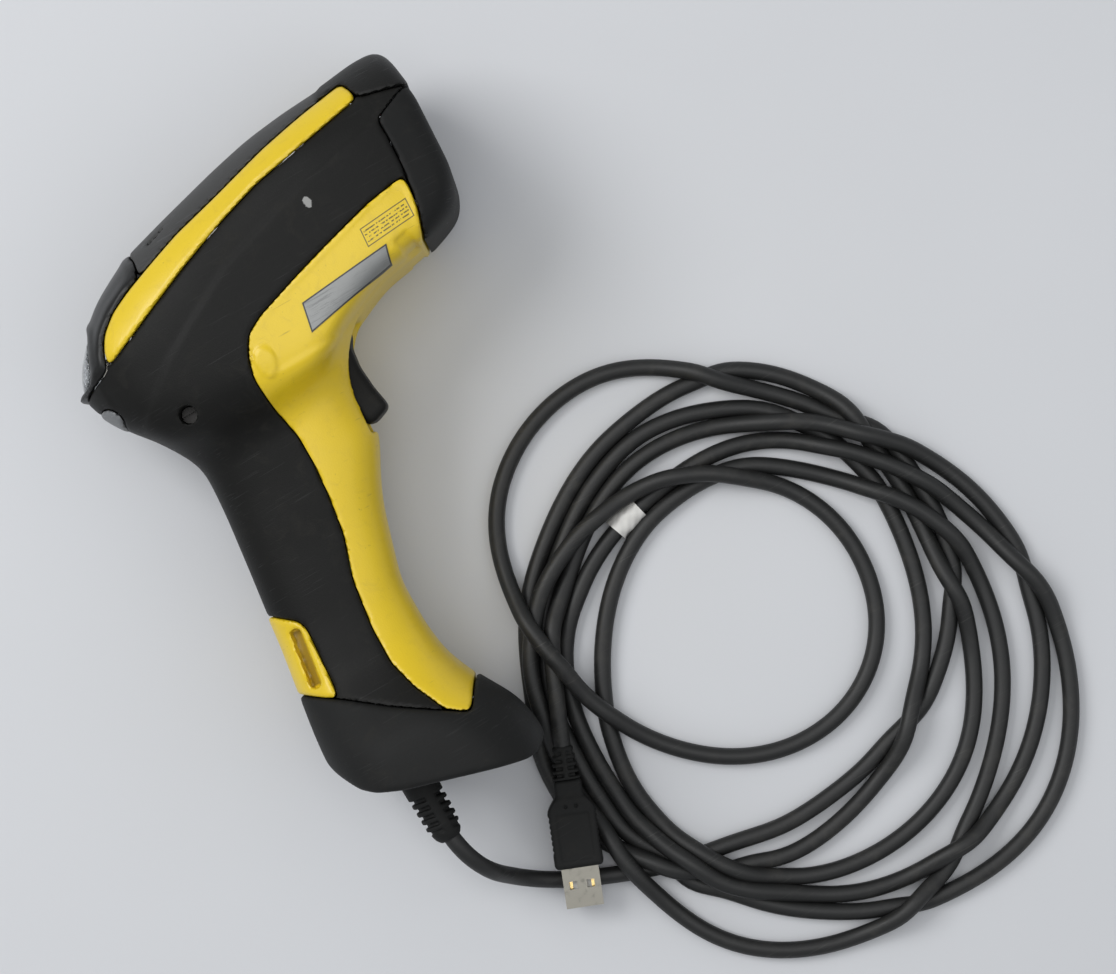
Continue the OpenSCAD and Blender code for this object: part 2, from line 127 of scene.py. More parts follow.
LABEL = [(7, 48.1), (37.8, 51), (36.1, 45), (5.1, 38.9)]
PRINTED_FRAME = [(33, 58.7), (49.7, 60.2), (49.4, 54.1), (32.5, 52.6)]
PRINTED_MIDDLE = (41.2, 56.4)
PRINTED_LEAN = 5             # degrees
PRINTED_ROWS = 1.05          # from one row of dashes to the next
# Shallow flat area of the grip's side, and the shoulder crease along the side shell
PANEL = [
    (-14.8, 34.2), (-15.2, 40), (-13.2, 45), (-8.7, 49.3), (0, 52), (9.7, 54.6), (21.6, 58), (39.2, 62.8),
    (50.6, 65), (50.6, 61), (49.8, 56), (47, 49), (44, 44.5), (44, 25), (30, 30), (16, 35.6), (8, 34.4),
    (-1.4, 34.2),
]
CREASE = [(90, 96), (66, 91), (55.9, 84.7), (24.9, 78.3), (-7.1, 68.4), (-35.7, 52.8), (-60, 34)]
OUTLINE_SOFTNESS = 1.15  # how far an outline's corners are eased
SCREW_AT = (-39.8, 36.5)
SCREW_BOSS = 4.4             # radii of the screw's boss and hole, and how far out its seat is
SCREW_HOLE = 2.8
SCREW_SEAT = 24
CREASE_STEP = 0.55           # how far the side drops above the crease, and over what width
CREASE_WIDTH = 2.2
ROUND_EDGE = 1.2             # edge radius of the raised covers
NOSE_OPENING = ((57, 64, -19), (84, 88, 19))
TRIGGER_OPENING = ((-10, 5.5, -9.2), (24, 38, 9.2))
GRIP_WALL = 3.6              # thicker than the other covers, because its recess is deep
# The grip's raised button and its small recess: place and lean as a cosine and a sine
BUTTON_AT = (-11.3, 38.2, 0.985, -0.17)
BUTTON_SIZE = (3.1, 4.9)
BUTTON_RISE = 0.75
RECESS_AT = (43.4, 47.2, 0.97, 0.24)
RECESS_SIZE = (2.4, 3.9)
RECESS_DEPTH = 1.0
# Sounder holes: on the slope of the cover, how far out that row is, and along its ridge
SIDE_HOLES = [(-24.8, 86.4), (-22.3, 87.1), (-19.9, 88.2)]
SIDE_HOLES_OUT = 18
TOP_HOLES = (-24, -20)
HOOD_AT = (39.5, 99)         # where the top cover's front hood starts
HOOD_RISE = 0.55
RIM_RISE = 0.8               # the bezel's outer ridge, and the lip round its window
LIP_RISE = 0.5
PIVOT = (1, 38)
HUB_RADIUS = 4.3
PIN_HOLE_RADIUS = 1.56
TRIGGER_HALF_WIDTH = 8.4
TRIGGER = [
    (14.6, 36.1), (12, 31.5), (11.2, 25), (11.8, 17.5), (13, 10.8), (12.2, 9.4), (7, 7.6),
    (4, 8.4), (3, 15), (-3, 15.5), (-3, 20.5), (1, 23), (-3, 36), (1, 42), (5, 40.5),
]
CLIP_SLOT = ((-46.2, -37.2), (-48.4, -52.8), 1.8)
# Painted shade: the area over the rear clip's slot that is coloured dark brown
SLOT_SHADE_AREA = [(-47.5, -35.8), (-44.5, -36.2), (-47.1, -54.2), (-50.1, -53.8)]
SLOT_DEPTH = 3.0             # of the slot in the rear clip
PANEL_DEPTH = 0.45           # of the flat area in the grip's side
LABEL_GRID = (60, 20)        # the label's cells along and across
LABEL_RISE = 0.2             # its face above the sunken panel, and its back below it
LABEL_SINK = 0.1
CHIP = (23.6, 73.4, 1.9)     # pale chip on the side shell: place and radius
CHIP_COLOUR = (0.3, 0.3, 0.29)

# The lead from the boot down to the table, the coil about its middle, and the run into the plug
EXIT = (-37.7, -116.2, 37)
LEAD = [
    (-37.7, -112, 37), (-37.7, -116.2, 37), (-37.2, -120.2, 36.6), (-36, -125, 35), (-34, -129.5, 32),
    (-32, -133.4, 26.8), (-30.8, -135.4, 21), (-29.4, -137.4, 15.2), (-26.6, -141, 10),
    (-21.8, -145, 6.4), (-16, -148.6, 5), (-11, -151, 4.8), (-4.5, -154, 3.8), (5, -158, 3),
    (14.5, -161.2, 2.8), (24, -163.6, 2.8),
]
TAIL = [
    (22, -75, 8), (18.5, -81, 8.5), (15.5, -87.5, 9.2), (12.3, -95, 9.8), (9, -102.5, 10),
    (5.5, -110.6, 10), (4.4, -113.4, 10),
]
COIL_AT = (73.4, -110.8)
COIL_START = -120            # degrees
COIL_STEP = 30
# Distance out from the middle at each twelfth of a turn, one row for each turn
COIL = [
    [64.1, 57.5, 58.7, 65.6, 74.0, 77.8, 81.8, 98.1, 92.2, 66.5, 50.0, 41.2],
    [38.0, 38.0, 40.1, 42.9, 45.5, 49.3, 53.4, 58.6, 64.1, 69.8, 71.4, 79.7],
    [99.4, 101.7, 90.2, 82.3, 73.1, 60.0, 55.4, 51.0, 46.5, 45.7, 50.8, 63.5],
    [76.5, 81.2, 80.7, 72.8, 67.9, 78.2, 87.1, 79.0, 70.3, 69.2, 70.5, 77.9],
    [75.3, 65.7, 59.5, 58.2, 60.4, 68.0, 74.0, 74.3, 66.9, 65.9, 68.3, 73.3],
    [80.7, 99.9, 112.0, 102.6, 82.1, 70.5, 63.7, 55.6, 54.8, 58.1, 61.0, 69.8],
    [79.0, 92.0, 98.4, 96.1, 89.1, 77.3, 70.8, 67.8, 63.2],
]
# Which turns lie on which: the higher number lies on top
TURN_RANK = [1, 7, 5, 3, 2, 4, 6]
# Stretches that change their place in the pile: turn, first and last angle, rank
CROSSINGS = [(0, 50, 88, 3.5), (0, 118, 204, 9), (5, 1760, 1796, 6.5)]
RANK_STEP = 0.7              # how much higher each rank starts before the lead settles
LEAD_RANK = 0
TAIL_RANK = 8
CORD_STEP = 2.0              # from one point of the lead to the next
CORD_EASE = 6.0              # how far its corners are eased
SETTLE_ROUNDS = 200
SETTLE_PUSH = 1.3            # share of an overlap that one round takes away
SETTLE_KEEP = 0.97           # what one round leaves of a shift in plan
SETTLE_SINK = 0.05           # how far it sinks in one round
SETTLE_STIFFNESS = 0.5       # how far one round evens out the shifts of neighbouring points
SLEEVE_ANGLE = 1904          # where the label's sleeve sits, in degrees round the coil
SLEEVE_LENGTH = 11.0
SLEEVE_STEP = 0.5
SLEEVE_SIDES = 40
SLEEVE_OUTSIDE = 3.25
SLEEVE_INSIDE = 2.95

PLUG_AT = (5.5, -110.6, 10)
PLUG_TURN = -111.6
RELIEF_LENGTH = 10.7
NECK_LENGTH = 5.3
BODY_LENGTH = 23.0
BODY_HALF = (7.85, 4)        # half of its width and of its thickness
PLUG_RIBS = (2.2, 4.6, 7.0, 9.2)
BEAD_RADIUS = 3.9
BEAD_REACH = 14              # points of the lead this near to a bead are tested against it
STRAIN_RELIEF_TOP = -92
STRAIN_RELIEF_LENGTH = 24.4
STRAIN_RELIEF_PROFILE = ([0, 4, 19, 22.6, 24.4], [5.8, 5.8, 5.5, 4.4, 3.2])
STRAIN_RELIEF_SLOTS = (9.4, 12.2, 15.0, 17.8, 20.4)

# The camera above the table and the lights round it, in metres, degrees and watts
CAMERA_AT = (0.0459, -0.0381, 1.0)
CAMERA_TURN = -30
CAMERA_LENS = 99.68          # focal length and sensor width in mm
CAMERA_SENSOR = 36.0
LIGHTS = [
    ("key_light", (-0.6, 0.8, 1.2), 13.0, 0.8),
    ("fill_light", (0.8, -0.5, 1.3), 3.0, 1.2),
    ("top_light", (0.0, 0.1, 1.9), 6.0, 1.0),
]
LIT_SPOT = (0.03, -0.02, 0)
ROOM_COLOUR = (0.93, 0.96, 1.0)
ROOM_STRENGTH = 0.42
TABLE_REACH = 4.0


# --- sizes and colours that a user may change -------------------------------------------------

class ScannerSizes(bpy.types.PropertyGroup):
    """Sizes of the visible pieces"""
    detail: FloatProperty(
        name="Detail", description="Spacing of the points that the covers are meshed from",
        default=0.0008, min=0.0005, max=0.003, unit="LENGTH")
    gap: FloatProperty(
        name="Cover gap", description="Width of the joint between two covers",
        default=0.0003, min=0.0002, max=0.001, unit="LENGTH")
    cord_diameter: FloatProperty(
        name="Cord diameter", description="Diameter of the lead's jacket",
        default=0.0055, min=0.005, max=0.006, unit="LENGTH")
    cord_length: FloatProperty(
        name="Cord length", description="Real length of the lead from its boot to its plug",
        default=3.28, min=3.0, max=3.6, unit="LENGTH")
    cord_sides: IntProperty(
        name="Cord sides", description="Points round the lead, as a bevel resolution",
        default=4, min=2, max=8)


class ScannerColours(bpy.types.PropertyGroup):
    """Base colours of the visible finishes"""
    yellow: FloatVectorProperty(
        name="Yellow", description="Grip, stripes and rear clip",
        default=(0.74, 0.525, 0.012), subtype="COLOR", size=3, min=0, max=1)
    black: FloatVectorProperty(
        name="Black", description="Moulded side shells and trigger",
        default=(0.009, 0.009, 0.0084), subtype="COLOR", size=3, min=0, max=1)
    rubber: FloatVectorProperty(
        name="Rubber", description="Foot, nose boot and cord",
        default=(0.0105, 0.0108, 0.0105), subtype="COLOR", size=3, min=0, max=1)
    grey: FloatVectorProperty(
        name="Cover grey", description="Top cover",
        default=(0.045, 0.045, 0.044), subtype="COLOR", size=3, min=0, max=1)
    cap: FloatVectorProperty(
        name="Cap grey", description="Rear cap under the window",
        default=(0.16, 0.165, 0.17), subtype="COLOR", size=3, min=0, max=1)
    floor: FloatVectorProperty(
        name="Floor", description="Table top under the scanner",
        default=(0.62, 0.63, 0.65), subtype="COLOR", size=3, min=0, max=1)


# --- shader arithmetic ----------------------------------------------------------------------

class Link:
    """A shader socket that Python's arithmetic turns into Math nodes."""

    def __init__(self, finish, socket):
        self.finish = finish
        self.socket = socket

    def math(self, operation, *values):
        return self.finish.math(operation, *values)

    def __add__(self, other):
        return self.math("ADD", self, other)

    def __radd__(self, other):
        return self.math("ADD", other, self)

    def __sub__(self, other):
        return self.math("SUBTRACT", self, other)

    def __rsub__(self, other):
        return self.math("SUBTRACT", other, self)

    def __mul__(self, other):
        return self.math("MULTIPLY", self, other)

    def __rmul__(self, other):
        return self.math("MULTIPLY", other, self)

    def __truediv__(self, other):
        return self.math("DIVIDE", self, other)

    def __abs__(self):
        return self.math("ABSOLUTE", self)

    def __gt__(self, other):
        return self.math("GREATER_THAN", self, other)

    def __lt__(self, other):
        return self.math("LESS_THAN", self, other)

    def most(self, other):
        return self.math("MAXIMUM", self, other)

    def least(self, other):
        return self.math("MINIMUM", self, other)


class Finish:
    """One material, and short ways to add nodes to it."""

    def __init__(self, name, **constants):
        self.name = name
        self.material = bpy.data.materials.new(name)
        self.material.use_nodes = True
        self.tree = self.material.node_tree
        self.shader = self.tree.nodes["Principled BSDF"]
        for socket, value in constants.items():
            self.set(socket.replace("_", " "), value)

    def feed(self, socket, value):
        if isinstance(value, Link):
            self.tree.links.new(value.socket, socket)
        else:
            socket.default_value = value

    def set(self, socket, value):
        self.feed(self.shader.inputs[socket], value)

    def node(self, kind, settings=None, inputs=None, output=0):
        made = self.tree.nodes.new(kind)
        for key, value in (settings or {}).items():
            if key == "stops":
                ramp = made.color_ramp
                while len(ramp.elements) < len(value):
                    ramp.elements.new(0.5)
                for element, (place, colour) in zip(ramp.elements, value):
                    element.position = place
                    element.color = colour
            else:
                setattr(made, key, value)
        for key, value in (inputs or {}).items():
            self.feed(made.inputs[key], value)
        return Link(self, made.outputs[output])

    def math(self, operation, *values):
        return self.node("ShaderNodeMath", {"operation": operation}, dict(enumerate(values)))

    def place(self, stretch=(1, 1, 1), turn=0.0):
        """Where a point is on the object, in millimetres, stretched and turned about Z."""
        spot = self.node("ShaderNodeTexCoord", output="Object")
        scaled = self.node("ShaderNodeVectorMath", {"operation": "SCALE"}, {0: spot, "Scale": 1000.0})
        return self.node("ShaderNodeMapping", None, {
            "Vector": scaled, "Rotation": (0, 0, math.radians(turn)), "Scale": stretch})

    def parts(self, vector):
        split = self.node("ShaderNodeSeparateXYZ", None, {0: vector})
        outputs = split.socket.node.outputs
        return [Link(self, outputs[axis]) for axis in range(3)]

    def noise(self, where, size, detail=3.0, roughness=0.55, warp=0.0):
        """Noise from 0 to 1 whose lumps are about size millimetres across."""
        return self.node("ShaderNodeTexNoise", None, {
            "Vector": where, "Scale": 1.0 / size, "Detail": detail, "Roughness": roughness,
            "Distortion": warp})

    def cells(self, where, size):
        return self.node("ShaderNodeTexVoronoi", None, {"Vector": where, "Scale": 1.0 / size})

    def step(self, value, low, high):
        """0 below low, 1 above high, and smooth between."""
        return self.node("ShaderNodeMapRange", {"interpolation_type": "SMOOTHSTEP"}, {
            "Value": value, "From Min": low, "From Max": high})

    def mix(self, share, first, second):
        def colour(value):
            return value if isinstance(value, Link) else (*value, 1.0)
        return self.node("ShaderNodeMix", {"data_type": "RGBA"}, {
            0: share, 6: colour(first), 7: colour(second)}, output=2)

    def inset(self, x, y, corners):
        """How far a place is inside the straight sides of a four-sided shape, in millimetres."""
        found = None
        for (ax, ay), (bx, by) in zip(corners, corners[1:] + corners[:1]):
            size = math.hypot(bx - ax, by - ay)
            away = (x - ax) * ((by - ay) / size) - (y - ay) * ((bx - ax) / size)
            found = away if found is None else found.least(away)
        return found

    def bump(self, height, depth, under=None):
        """Raises the surface by height times depth millimetres."""
        inputs = {"Height": height, "Distance": depth * MM, "Strength": 1.0}
        if under is not None:
            inputs["Normal"] = under
        return self.node("ShaderNodeBump", None, inputs)


def shade(colour, factor):
    return tuple(min(1.0, channel * factor) for channel in colour)


def scratches(finish, size=26.0, fineness=0.35, keep=0.66):
    """Thin broken scratches in three directions, as a mask."""
    found = None
    for turn in (17.0, -38.0, 74.0):
        where = finish.place((1 / size, 1 / fineness, 1 / 6.0), turn)
        line = finish.noise(where, 1.0, 2.0, 0.5)
        patch = finish.noise(finish.place((1, 1, 1), turn * 2), 19.0, 2.0, 0.5)
        one = finish.step(line, keep, keep + 0.05) * finish.step(patch, 0.5, 0.62)
        found = one if found is None else found.most(one)
    return found


def moulded(name, colour, rough=0.5, grain=0.45, grain_depth=0.05, soil=(0.2, 0.18, 0.14), soiling=0.3,
            scuffs=0.5, scuff_colour=None, spread=0.1, chip=None, fore=None, gloss=0.5):
    """Moulded plastic or rubber: fine grain, patchy handling marks, thin scratches."""
    finish = Finish(name, Specular_IOR_Level=gloss)
    where = finish.place()
    broad = finish.noise(where, 34.0, 4.0, 0.6)
    patchy = finish.noise(where, 7.0, 5.0, 0.65, 0.6)
    fine = finish.cells(where, grain)
    speckle = finish.noise(where, 0.8, 2.0)
    tone = finish.mix(broad, shade(colour, 1 - spread), shade(colour, 1 + spread))
    dirty = finish.step(patchy * 0.6 + broad * 0.4, 0.5, 0.72) * soiling
    tone = finish.mix(dirty, tone, soil)
    if fore is not None:
        ahead = finish.parts(where)[0]
        tone = finish.mix(finish.step(ahead, fore[0], fore[0] + 1.5), tone, fore[1])
    marks = scratches(finish)
    tone = finish.mix(marks * scuffs, tone, scuff_colour or shade(colour, 2.2))
    if chip is not None:
        x, y, z = finish.parts(where)
        ragged = finish.noise(where, 1.6, 3.0, 0.7) * 2.6
        dx, dy = x - chip[0], y - chip[1]
        apart = finish.math("SQRT", dx * dx * 1.9 + dy * dy)
        worn = finish.step(chip[2] + 1.3 - ragged - apart, 0.0, 0.4) * (z > MIDDLE)
        tone = finish.mix(worn, tone, CHIP_COLOUR)
    finish.set("Base Color", tone)
    finish.set("Roughness", (rough - 0.06) + broad * 0.12 + speckle * 0.06 + dirty * 0.25 - marks * 0.1)
    relief = fine * 0.7 + speckle * 0.3 - marks * 0.5
    finish.set("Normal", finish.bump(relief, grain_depth))
    return finish


def metal(name, colour, rough=0.25, grain=(6.0, 0.2, 0.2)):
    """Plated or turned metal with a fine brushed grain and a few dull spots."""
    finish = Finish(name, Metallic=1.0)
    where = finish.place(tuple(1 / g for g in grain), 22.0)
    brushed = finish.noise(where, 1.0, 4.0)
    spots = finish.step(finish.noise(finish.place(), 3.0, 4.0, 0.6), 0.55, 0.75)
    finish.set("Base Color", finish.mix(spots * 0.5, shade(colour, 1.04), shade(colour, 0.7)))
    finish.set("Roughness", rough + brushed * 0.12 + spots * 0.2)
    finish.set("Normal", finish.bump(brushed, 0.01))
    return finish


def clear(name, colour, rough=0.06):
    """Clear polished plastic or glass with hairline scratches."""
    finish = Finish(name, IOR=1.49, Transmission_Weight=0.9)
    marks = scratches(finish, 12.0, 0.25, 0.62)
    dust = finish.noise(finish.place(), 5.0, 5.0, 0.6)
    finish.set("Base Color", finish.mix(dust * 0.3, colour, shade(colour, 0.8)))
    finish.set("Roughness", rough + marks * 0.3 + dust * 0.08)
    finish.set("Normal", finish.bump(marks, -0.01))
    return finish


def yellow_finish(colour):
    """Yellow covers: soiled satin plastic, dark rub marks, a printed empty frame on one side, and painted
    shade over the rear clip's slot.
    """
    finish = Finish("yellow_shell", Coat_Weight=0.15, Coat_Roughness=0.25, Specular_IOR_Level=0.5)
    where = finish.place()
    broad = finish.noise(where, 28.0, 4.0, 0.6)
    patchy = finish.noise(where, 5.0, 6.0, 0.7, 0.8)
    fine = finish.cells(where, 0.5)
    specks = finish.step(finish.noise(where, 1.1, 3.0, 0.7), 0.66, 0.74)
    tone = finish.mix(broad, shade(colour, 0.93), shade(colour, 1.06))
    tone = finish.mix(finish.step(patchy, 0.5, 0.78) * 0.3, tone, (0.5, 0.34, 0.03))
    rubbed = specks * finish.step(broad, 0.42, 0.6)
    tone = finish.mix(rubbed * 0.55, tone, (0.12, 0.09, 0.03))
    marks = scratches(finish, 15.0, 0.5, 0.71)
    tone = finish.mix(marks * 0.5, tone, (0.25, 0.17, 0.04))
    x, y, z = finish.parts(where)
    inset = finish.inset(x, y, PRINTED_FRAME)
    edge = abs(inset - 0.2) < 0.17
    lean = math.radians(PRINTED_LEAN)
    across = (y - PRINTED_MIDDLE[1]) * math.cos(lean) - (x - PRINTED_MIDDLE[0]) * math.sin(lean)
    rows = finish.math("FRACT", across / PRINTED_ROWS + 10.0)
    dashes = finish.noise(finish.place((1.6, 0.95, 0.1), -PRINTED_LEAN), 1.0, 1.0)
    ruled = (abs(rows - 0.5) < 0.2) * (dashes > 0.46) * (inset > 0.75)
    printed = edge.most(ruled) * (z > MIDDLE + 10)
    tone = finish.mix(printed * 0.85, tone, (0.03, 0.028, 0.02))
    # Painted shade: darker brown over the rear clip's slot, with a ragged edge
    slot_shade = finish.step(finish.inset(x, y, SLOT_SHADE_AREA) + patchy * 0.8, 0.0, 1.0)
    tone = finish.mix(slot_shade * 0.75, tone, (0.16, 0.09, 0.02))
    finish.set("Base Color", tone)
    finish.set("Roughness", 0.33 + broad * 0.12 + rubbed * 0.2 + marks * 0.1)
    finish.set("Normal", finish.bump(fine * 0.5 + patchy * 0.5 - marks * 0.6, 0.04))
    return finish


def silver_finish():
    """Blank metallised label with a dark printed border and light creasing."""
    finish = Finish("silver_label", Metallic=0.35)
    where = finish.place()
    x, y, _ = finish.parts(where)
    broad = finish.noise(where, 9.0, 4.0)
    marks = scratches(finish, 9.0, 0.3, 0.6)
    border = finish.inset(x, y, LABEL) < 0.45
    tone = finish.mix(broad, (0.22, 0.225, 0.22), (0.32, 0.325, 0.32))
    tone = finish.mix(marks * 0.5, tone, (0.2, 0.2, 0.2))
    tone = finish.mix(border * 0.9, tone, (0.03, 0.03, 0.03))
    finish.set("Base Color", tone)
    finish.set("Roughness", 0.34 + broad * 0.15 + marks * 0.15)
    finish.set("Normal", finish.bump(broad - marks * 0.4, 0.05))
    return finish


def floor_finish(colour):
    """Matt pale table top with faint uneven tone."""
    finish = Finish("table_top")
    where = finish.place()
    broad = finish.noise(where, 160.0, 3.0)
    grain = finish.noise(where, 1.5, 3.0)
    finish.set("Base Color", finish.mix(broad, shade(colour, 0.97), shade(colour, 1.03)))
    finish.set("Roughness", 0.55 + grain * 0.1)
    finish.set("Normal", finish.bump(grain, 0.02))
    return finish


def make_finishes(colours):
    """All of the object's materials, by the record's slot."""
    yellow, black, rubber = tuple(colours.yellow), tuple(colours.black), tuple(colours.rubber)
    grey, cap = tuple(colours.grey), tuple(colours.cap)
    made = [
        moulded("black_shell", black, 0.5, 0.5, 0.035, (0.035, 0.033, 0.028), 0.3, 0.3,
                (0.05, 0.05, 0.05), chip=CHIP, gloss=0.15),
        moulded("black_rubber", rubber, 0.6, 0.9, 0.03, (0.03, 0.028, 0.024), 0.35, 0.3,
                (0.04, 0.04, 0.04), gloss=0.2),
        moulded("grey_cover", grey, 0.5, 0.45, 0.05, (0.06, 0.056, 0.05), 0.3, 0.4,
                (0.09, 0.09, 0.09), fore=(40.0, black), gloss=0.25),
        yellow_finish(yellow),
        moulded("grey_cap", cap, 0.45, 0.5, 0.05, (0.2, 0.19, 0.17), 0.3, 0.4, (0.4, 0.4, 0.4)),
        moulded("gloss_rim", rubber, 0.34, 1.2, 0.02, (0.03, 0.028, 0.025), 0.25, 0.5,
                (0.08, 0.08, 0.08), gloss=0.25),
        clear("clear_window", (0.75, 0.78, 0.8), 0.08),
        clear("scan_window", (0.3, 0.04, 0.04)),
        silver_finish(),
        moulded("white_label", (0.66, 0.65, 0.62), 0.32, 2.0, 0.08, (0.4, 0.37, 0.3), 0.35, 0.3,
                (0.4, 0.4, 0.38)),
        metal("steel", (0.56, 0.56, 0.57), 0.3),
        metal("dark_steel", (0.035, 0.034, 0.033), 0.4),
        metal("plug_metal", (0.24, 0.23, 0.2), 0.26),
        metal("contact_metal", (0.83, 0.62, 0.27), 0.22),
        moulded("inner_plastic", (0.05, 0.05, 0.055), 0.5),
        moulded("circuit_board", (0.02, 0.15, 0.06), 0.4, 1.2, 0.03, (0.1, 0.2, 0.1), 0.2),
        moulded("flex_film", (0.55, 0.28, 0.05), 0.3, 1.5, 0.02, (0.4, 0.2, 0.05), 0.2),
        clear("lens_glass", (0.7, 0.76, 0.85), 0.02),
        clear("lamp", (0.85, 0.8, 0.7), 0.1),
        metal("aimer_brass", (0.7, 0.52, 0.22), 0.25),
        moulded("switch_red", (0.5, 0.05, 0.03), 0.35, 0.8, 0.02),
        moulded("cord_jacket", rubber, 0.5, 0.6, 0.03, (0.06, 0.057, 0.05), 0.4, 0.35,
                (0.09, 0.088, 0.08)),
        moulded("insulator", (0.7, 0.69, 0.65), 0.4, 0.8, 0.02, (0.4, 0.38, 0.3), 0.2),
    ]
    return {finish.name: finish for finish in made}


FINISHES = {}


def paint(piece, slot, look=None):
    """Gives a piece the finish of the record's slot that it stands for, or the look given in its place."""
    piece.data.materials.clear()
    piece.data.materials.append(FINISHES[look or slot].material)


# --- meshing --------------------------------------------------------------------------------

def smooth_max(first, second, reach):
    """The larger of two distances, rounded where they are alike."""
    share = np.maximum(reach - np.abs(first - second), 0) / reach
    return np.maximum(first, second) + share * share * reach * 0.25


def smooth_min(first, second, reach):
    return -smooth_max(-first, -second, reach)


def bell(width):
    """Weights of a smoothing bell, width samples wide."""
    reach = int(math.ceil(3 * width))
    weights = np.exp(-0.5 * (np.arange(-reach, reach + 1) / width) ** 2)
    return weights / weights.sum(), reach


def profile(rows, column, at, width=3.0):
    """One column of a section table as a smooth run, read at these places."""
    knots = [row[0] for row in rows]
    fine = np.arange(knots[0] - 20, knots[-1] + 20, 0.5)
    run = np.interp(fine, knots, [row[column] for row in rows])
    weights, reach = bell(width / 0.5)
    run = np.convolve(np.pad(run, reach, mode="edge"), weights, mode="valid")
    return np.interp(at, fine, run)


def outline_distance(points, x, y):
    """Distance to a closed side outline at each x and y, negative inside it."""
    px, py = x[:, None], y[None, :]
    nearest = np.full((len(x), len(y)), 1e9)
    inside = np.zeros((len(x), len(y)), bool)
    for (ax, ay), (bx, by) in zip(points, points[1:] + points[:1]):
        ex, ey = bx - ax, by - ay
        along = np.clip(((px - ax) * ex + (py - ay) * ey) / (ex * ex + ey * ey), 0, 1)
        nearest = np.minimum(nearest, np.hypot(px - ax - along * ex, py - ay - along * ey))
        if ay != by:
            inside ^= ((ay > py) != (by > py)) & (px < ex * (py - ay) / ey + ax)
    return np.where(inside, -nearest, nearest)


def soften(plane, width):
    """Smooths a flat array both ways, which rounds an outline's corners."""
    weights, reach = bell(width)
    for axis in (0, 1):
        pad = [(reach, reach) if a == axis else (0, 0) for a in (0, 1)]
        wide = np.pad(plane, pad, mode="edge")
        plane = np.apply_along_axis(np.convolve, axis, wide, weights, "valid")
    return plane


def tube_distance(across, deep, low, high, half, low_shape, top_shape):
    """Distance to a squarish tube whose section runs from low to high and half to each side."""
    middle = (low + high) / 2
    reach = np.maximum((high - low) / 2, 0.5)
    u = (across - middle) / reach
    w = deep / np.maximum(half, 0.5)
    shape = np.where(u < 0, low_shape, top_shape)
    size = np.maximum((np.abs(u) ** shape + np.abs(w) ** shape) ** (1 / shape), 1e-3)
    radius = np.maximum(np.hypot(across - middle, deep), 1e-3)
    return radius * (1 - 1 / size)


def evened(field, step):
    """A field scaled so that it grows by 1 for each millimetre."""
    slope = np.sqrt(sum(g * g for g in np.gradient(field, step)))
    return field / np.clip(slope, 0.7, 3.0)


CORNERS = [(i, j, k) for i in (0, 1) for j in (0, 1) for k in (0, 1)]
EDGES = [(a, b) for a in CORNERS for b in CORNERS if a < b and sum(abs(p - q) for p, q in zip(a, b)) == 1]


def surface(field, origin, step):
    """Points and quads of the surface where a block of distances passes through zero."""
    inside = field < 0
    cells = tuple(n - 1 for n in field.shape)

    def corner(block, offset):
        return block[tuple(slice(o, o + n) for o, n in zip(offset, cells))]

    count = sum(corner(inside, c).astype(np.int8) for c in CORNERS)
    active = (count > 0) & (count < 8)
    where = np.argwhere(active)
    number = np.full(cells, -1, np.int64)
    number[active] = np.arange(len(where))
    total = np.zeros((len(where), 3))
    hits = np.zeros(len(where))
    for a, b in EDGES:
        fa = corner(field, a)[active]
        fb = corner(field, b)[active]
        cut = (fa < 0) != (fb < 0)
        share = np.where(cut, fa / np.where(cut, fa - fb, 1), 0)
        spot = np.array(a) + share[:, None] * (np.array(b) - np.array(a))
        total += spot * cut[:, None]
        hits += cut
    points = (where + total / hits[:, None]) * step + np.array(origin)
    quads = []
    for axis in range(3):
        one, two = (axis + 1) % 3, (axis + 2) % 3
        low = [slice(None)] * 3
        high = [slice(None)] * 3
        low[axis], high[axis] = slice(0, -1), slice(1, None)
        before, after = inside[tuple(low)], inside[tuple(high)]
        for start in (True, False):
            found = np.argwhere((before == start) & (after != start))
            found = found[(found[:, one] > 0) & (found[:, two] > 0)
                          & (found[:, one] < cells[one]) & (found[:, two] < cells[two])]
            ring = []
            for da, db in ((1, 1), (0, 1), (0, 0), (1, 0)):
                spot = found.copy()
                spot[:, one] -= da
                spot[:, two] -= db
                ring.append(number[spot[:, 0], spot[:, 1], spot[:, 2]])
            quad = np.stack(ring, axis=1)
            quads.append(quad if start else quad[:, ::-1])
    return points, np.concatenate(quads)


def add_object(name, data):
    """A new object in the scene, for a mesh, a curve, a camera or a light."""
    made = bpy.data.objects.new(name, data)
    bpy.context.scene.collection.objects.link(made)
    return made


def new_piece(name, points, faces, smooth=True):
    """A mesh object in the scene, from points in metres."""
    mesh = bpy.data.meshes.new(name)
    mesh.from_pydata(np.asarray(points).tolist(), [], np.asarray(faces).tolist())
    mesh.validate()
    if smooth:
        mesh.shade_smooth()
        mesh.set_sharp_from_angle(angle=math.radians(40))
    mesh.update()
    return add_object(name, mesh)


def fair(points, faces, rounds=2, strength=0.5):
    """Evens out the small steps of a meshed surface."""
    pairs = np.concatenate([faces[:, [i, (i + 1) % 4]] for i in range(4)])
    degree = np.zeros(len(points))
    np.add.at(degree, pairs[:, 0], 1)
    np.add.at(degree, pairs[:, 1], 1)
    for share in (strength, -strength * 1.04) * rounds:
        total = np.zeros_like(points)
        np.add.at(total, pairs[:, 0], points[pairs[:, 1]])
        np.add.at(total, pairs[:, 1], points[pairs[:, 0]])
        points = points + share * (total / degree[:, None] - points)
    return points


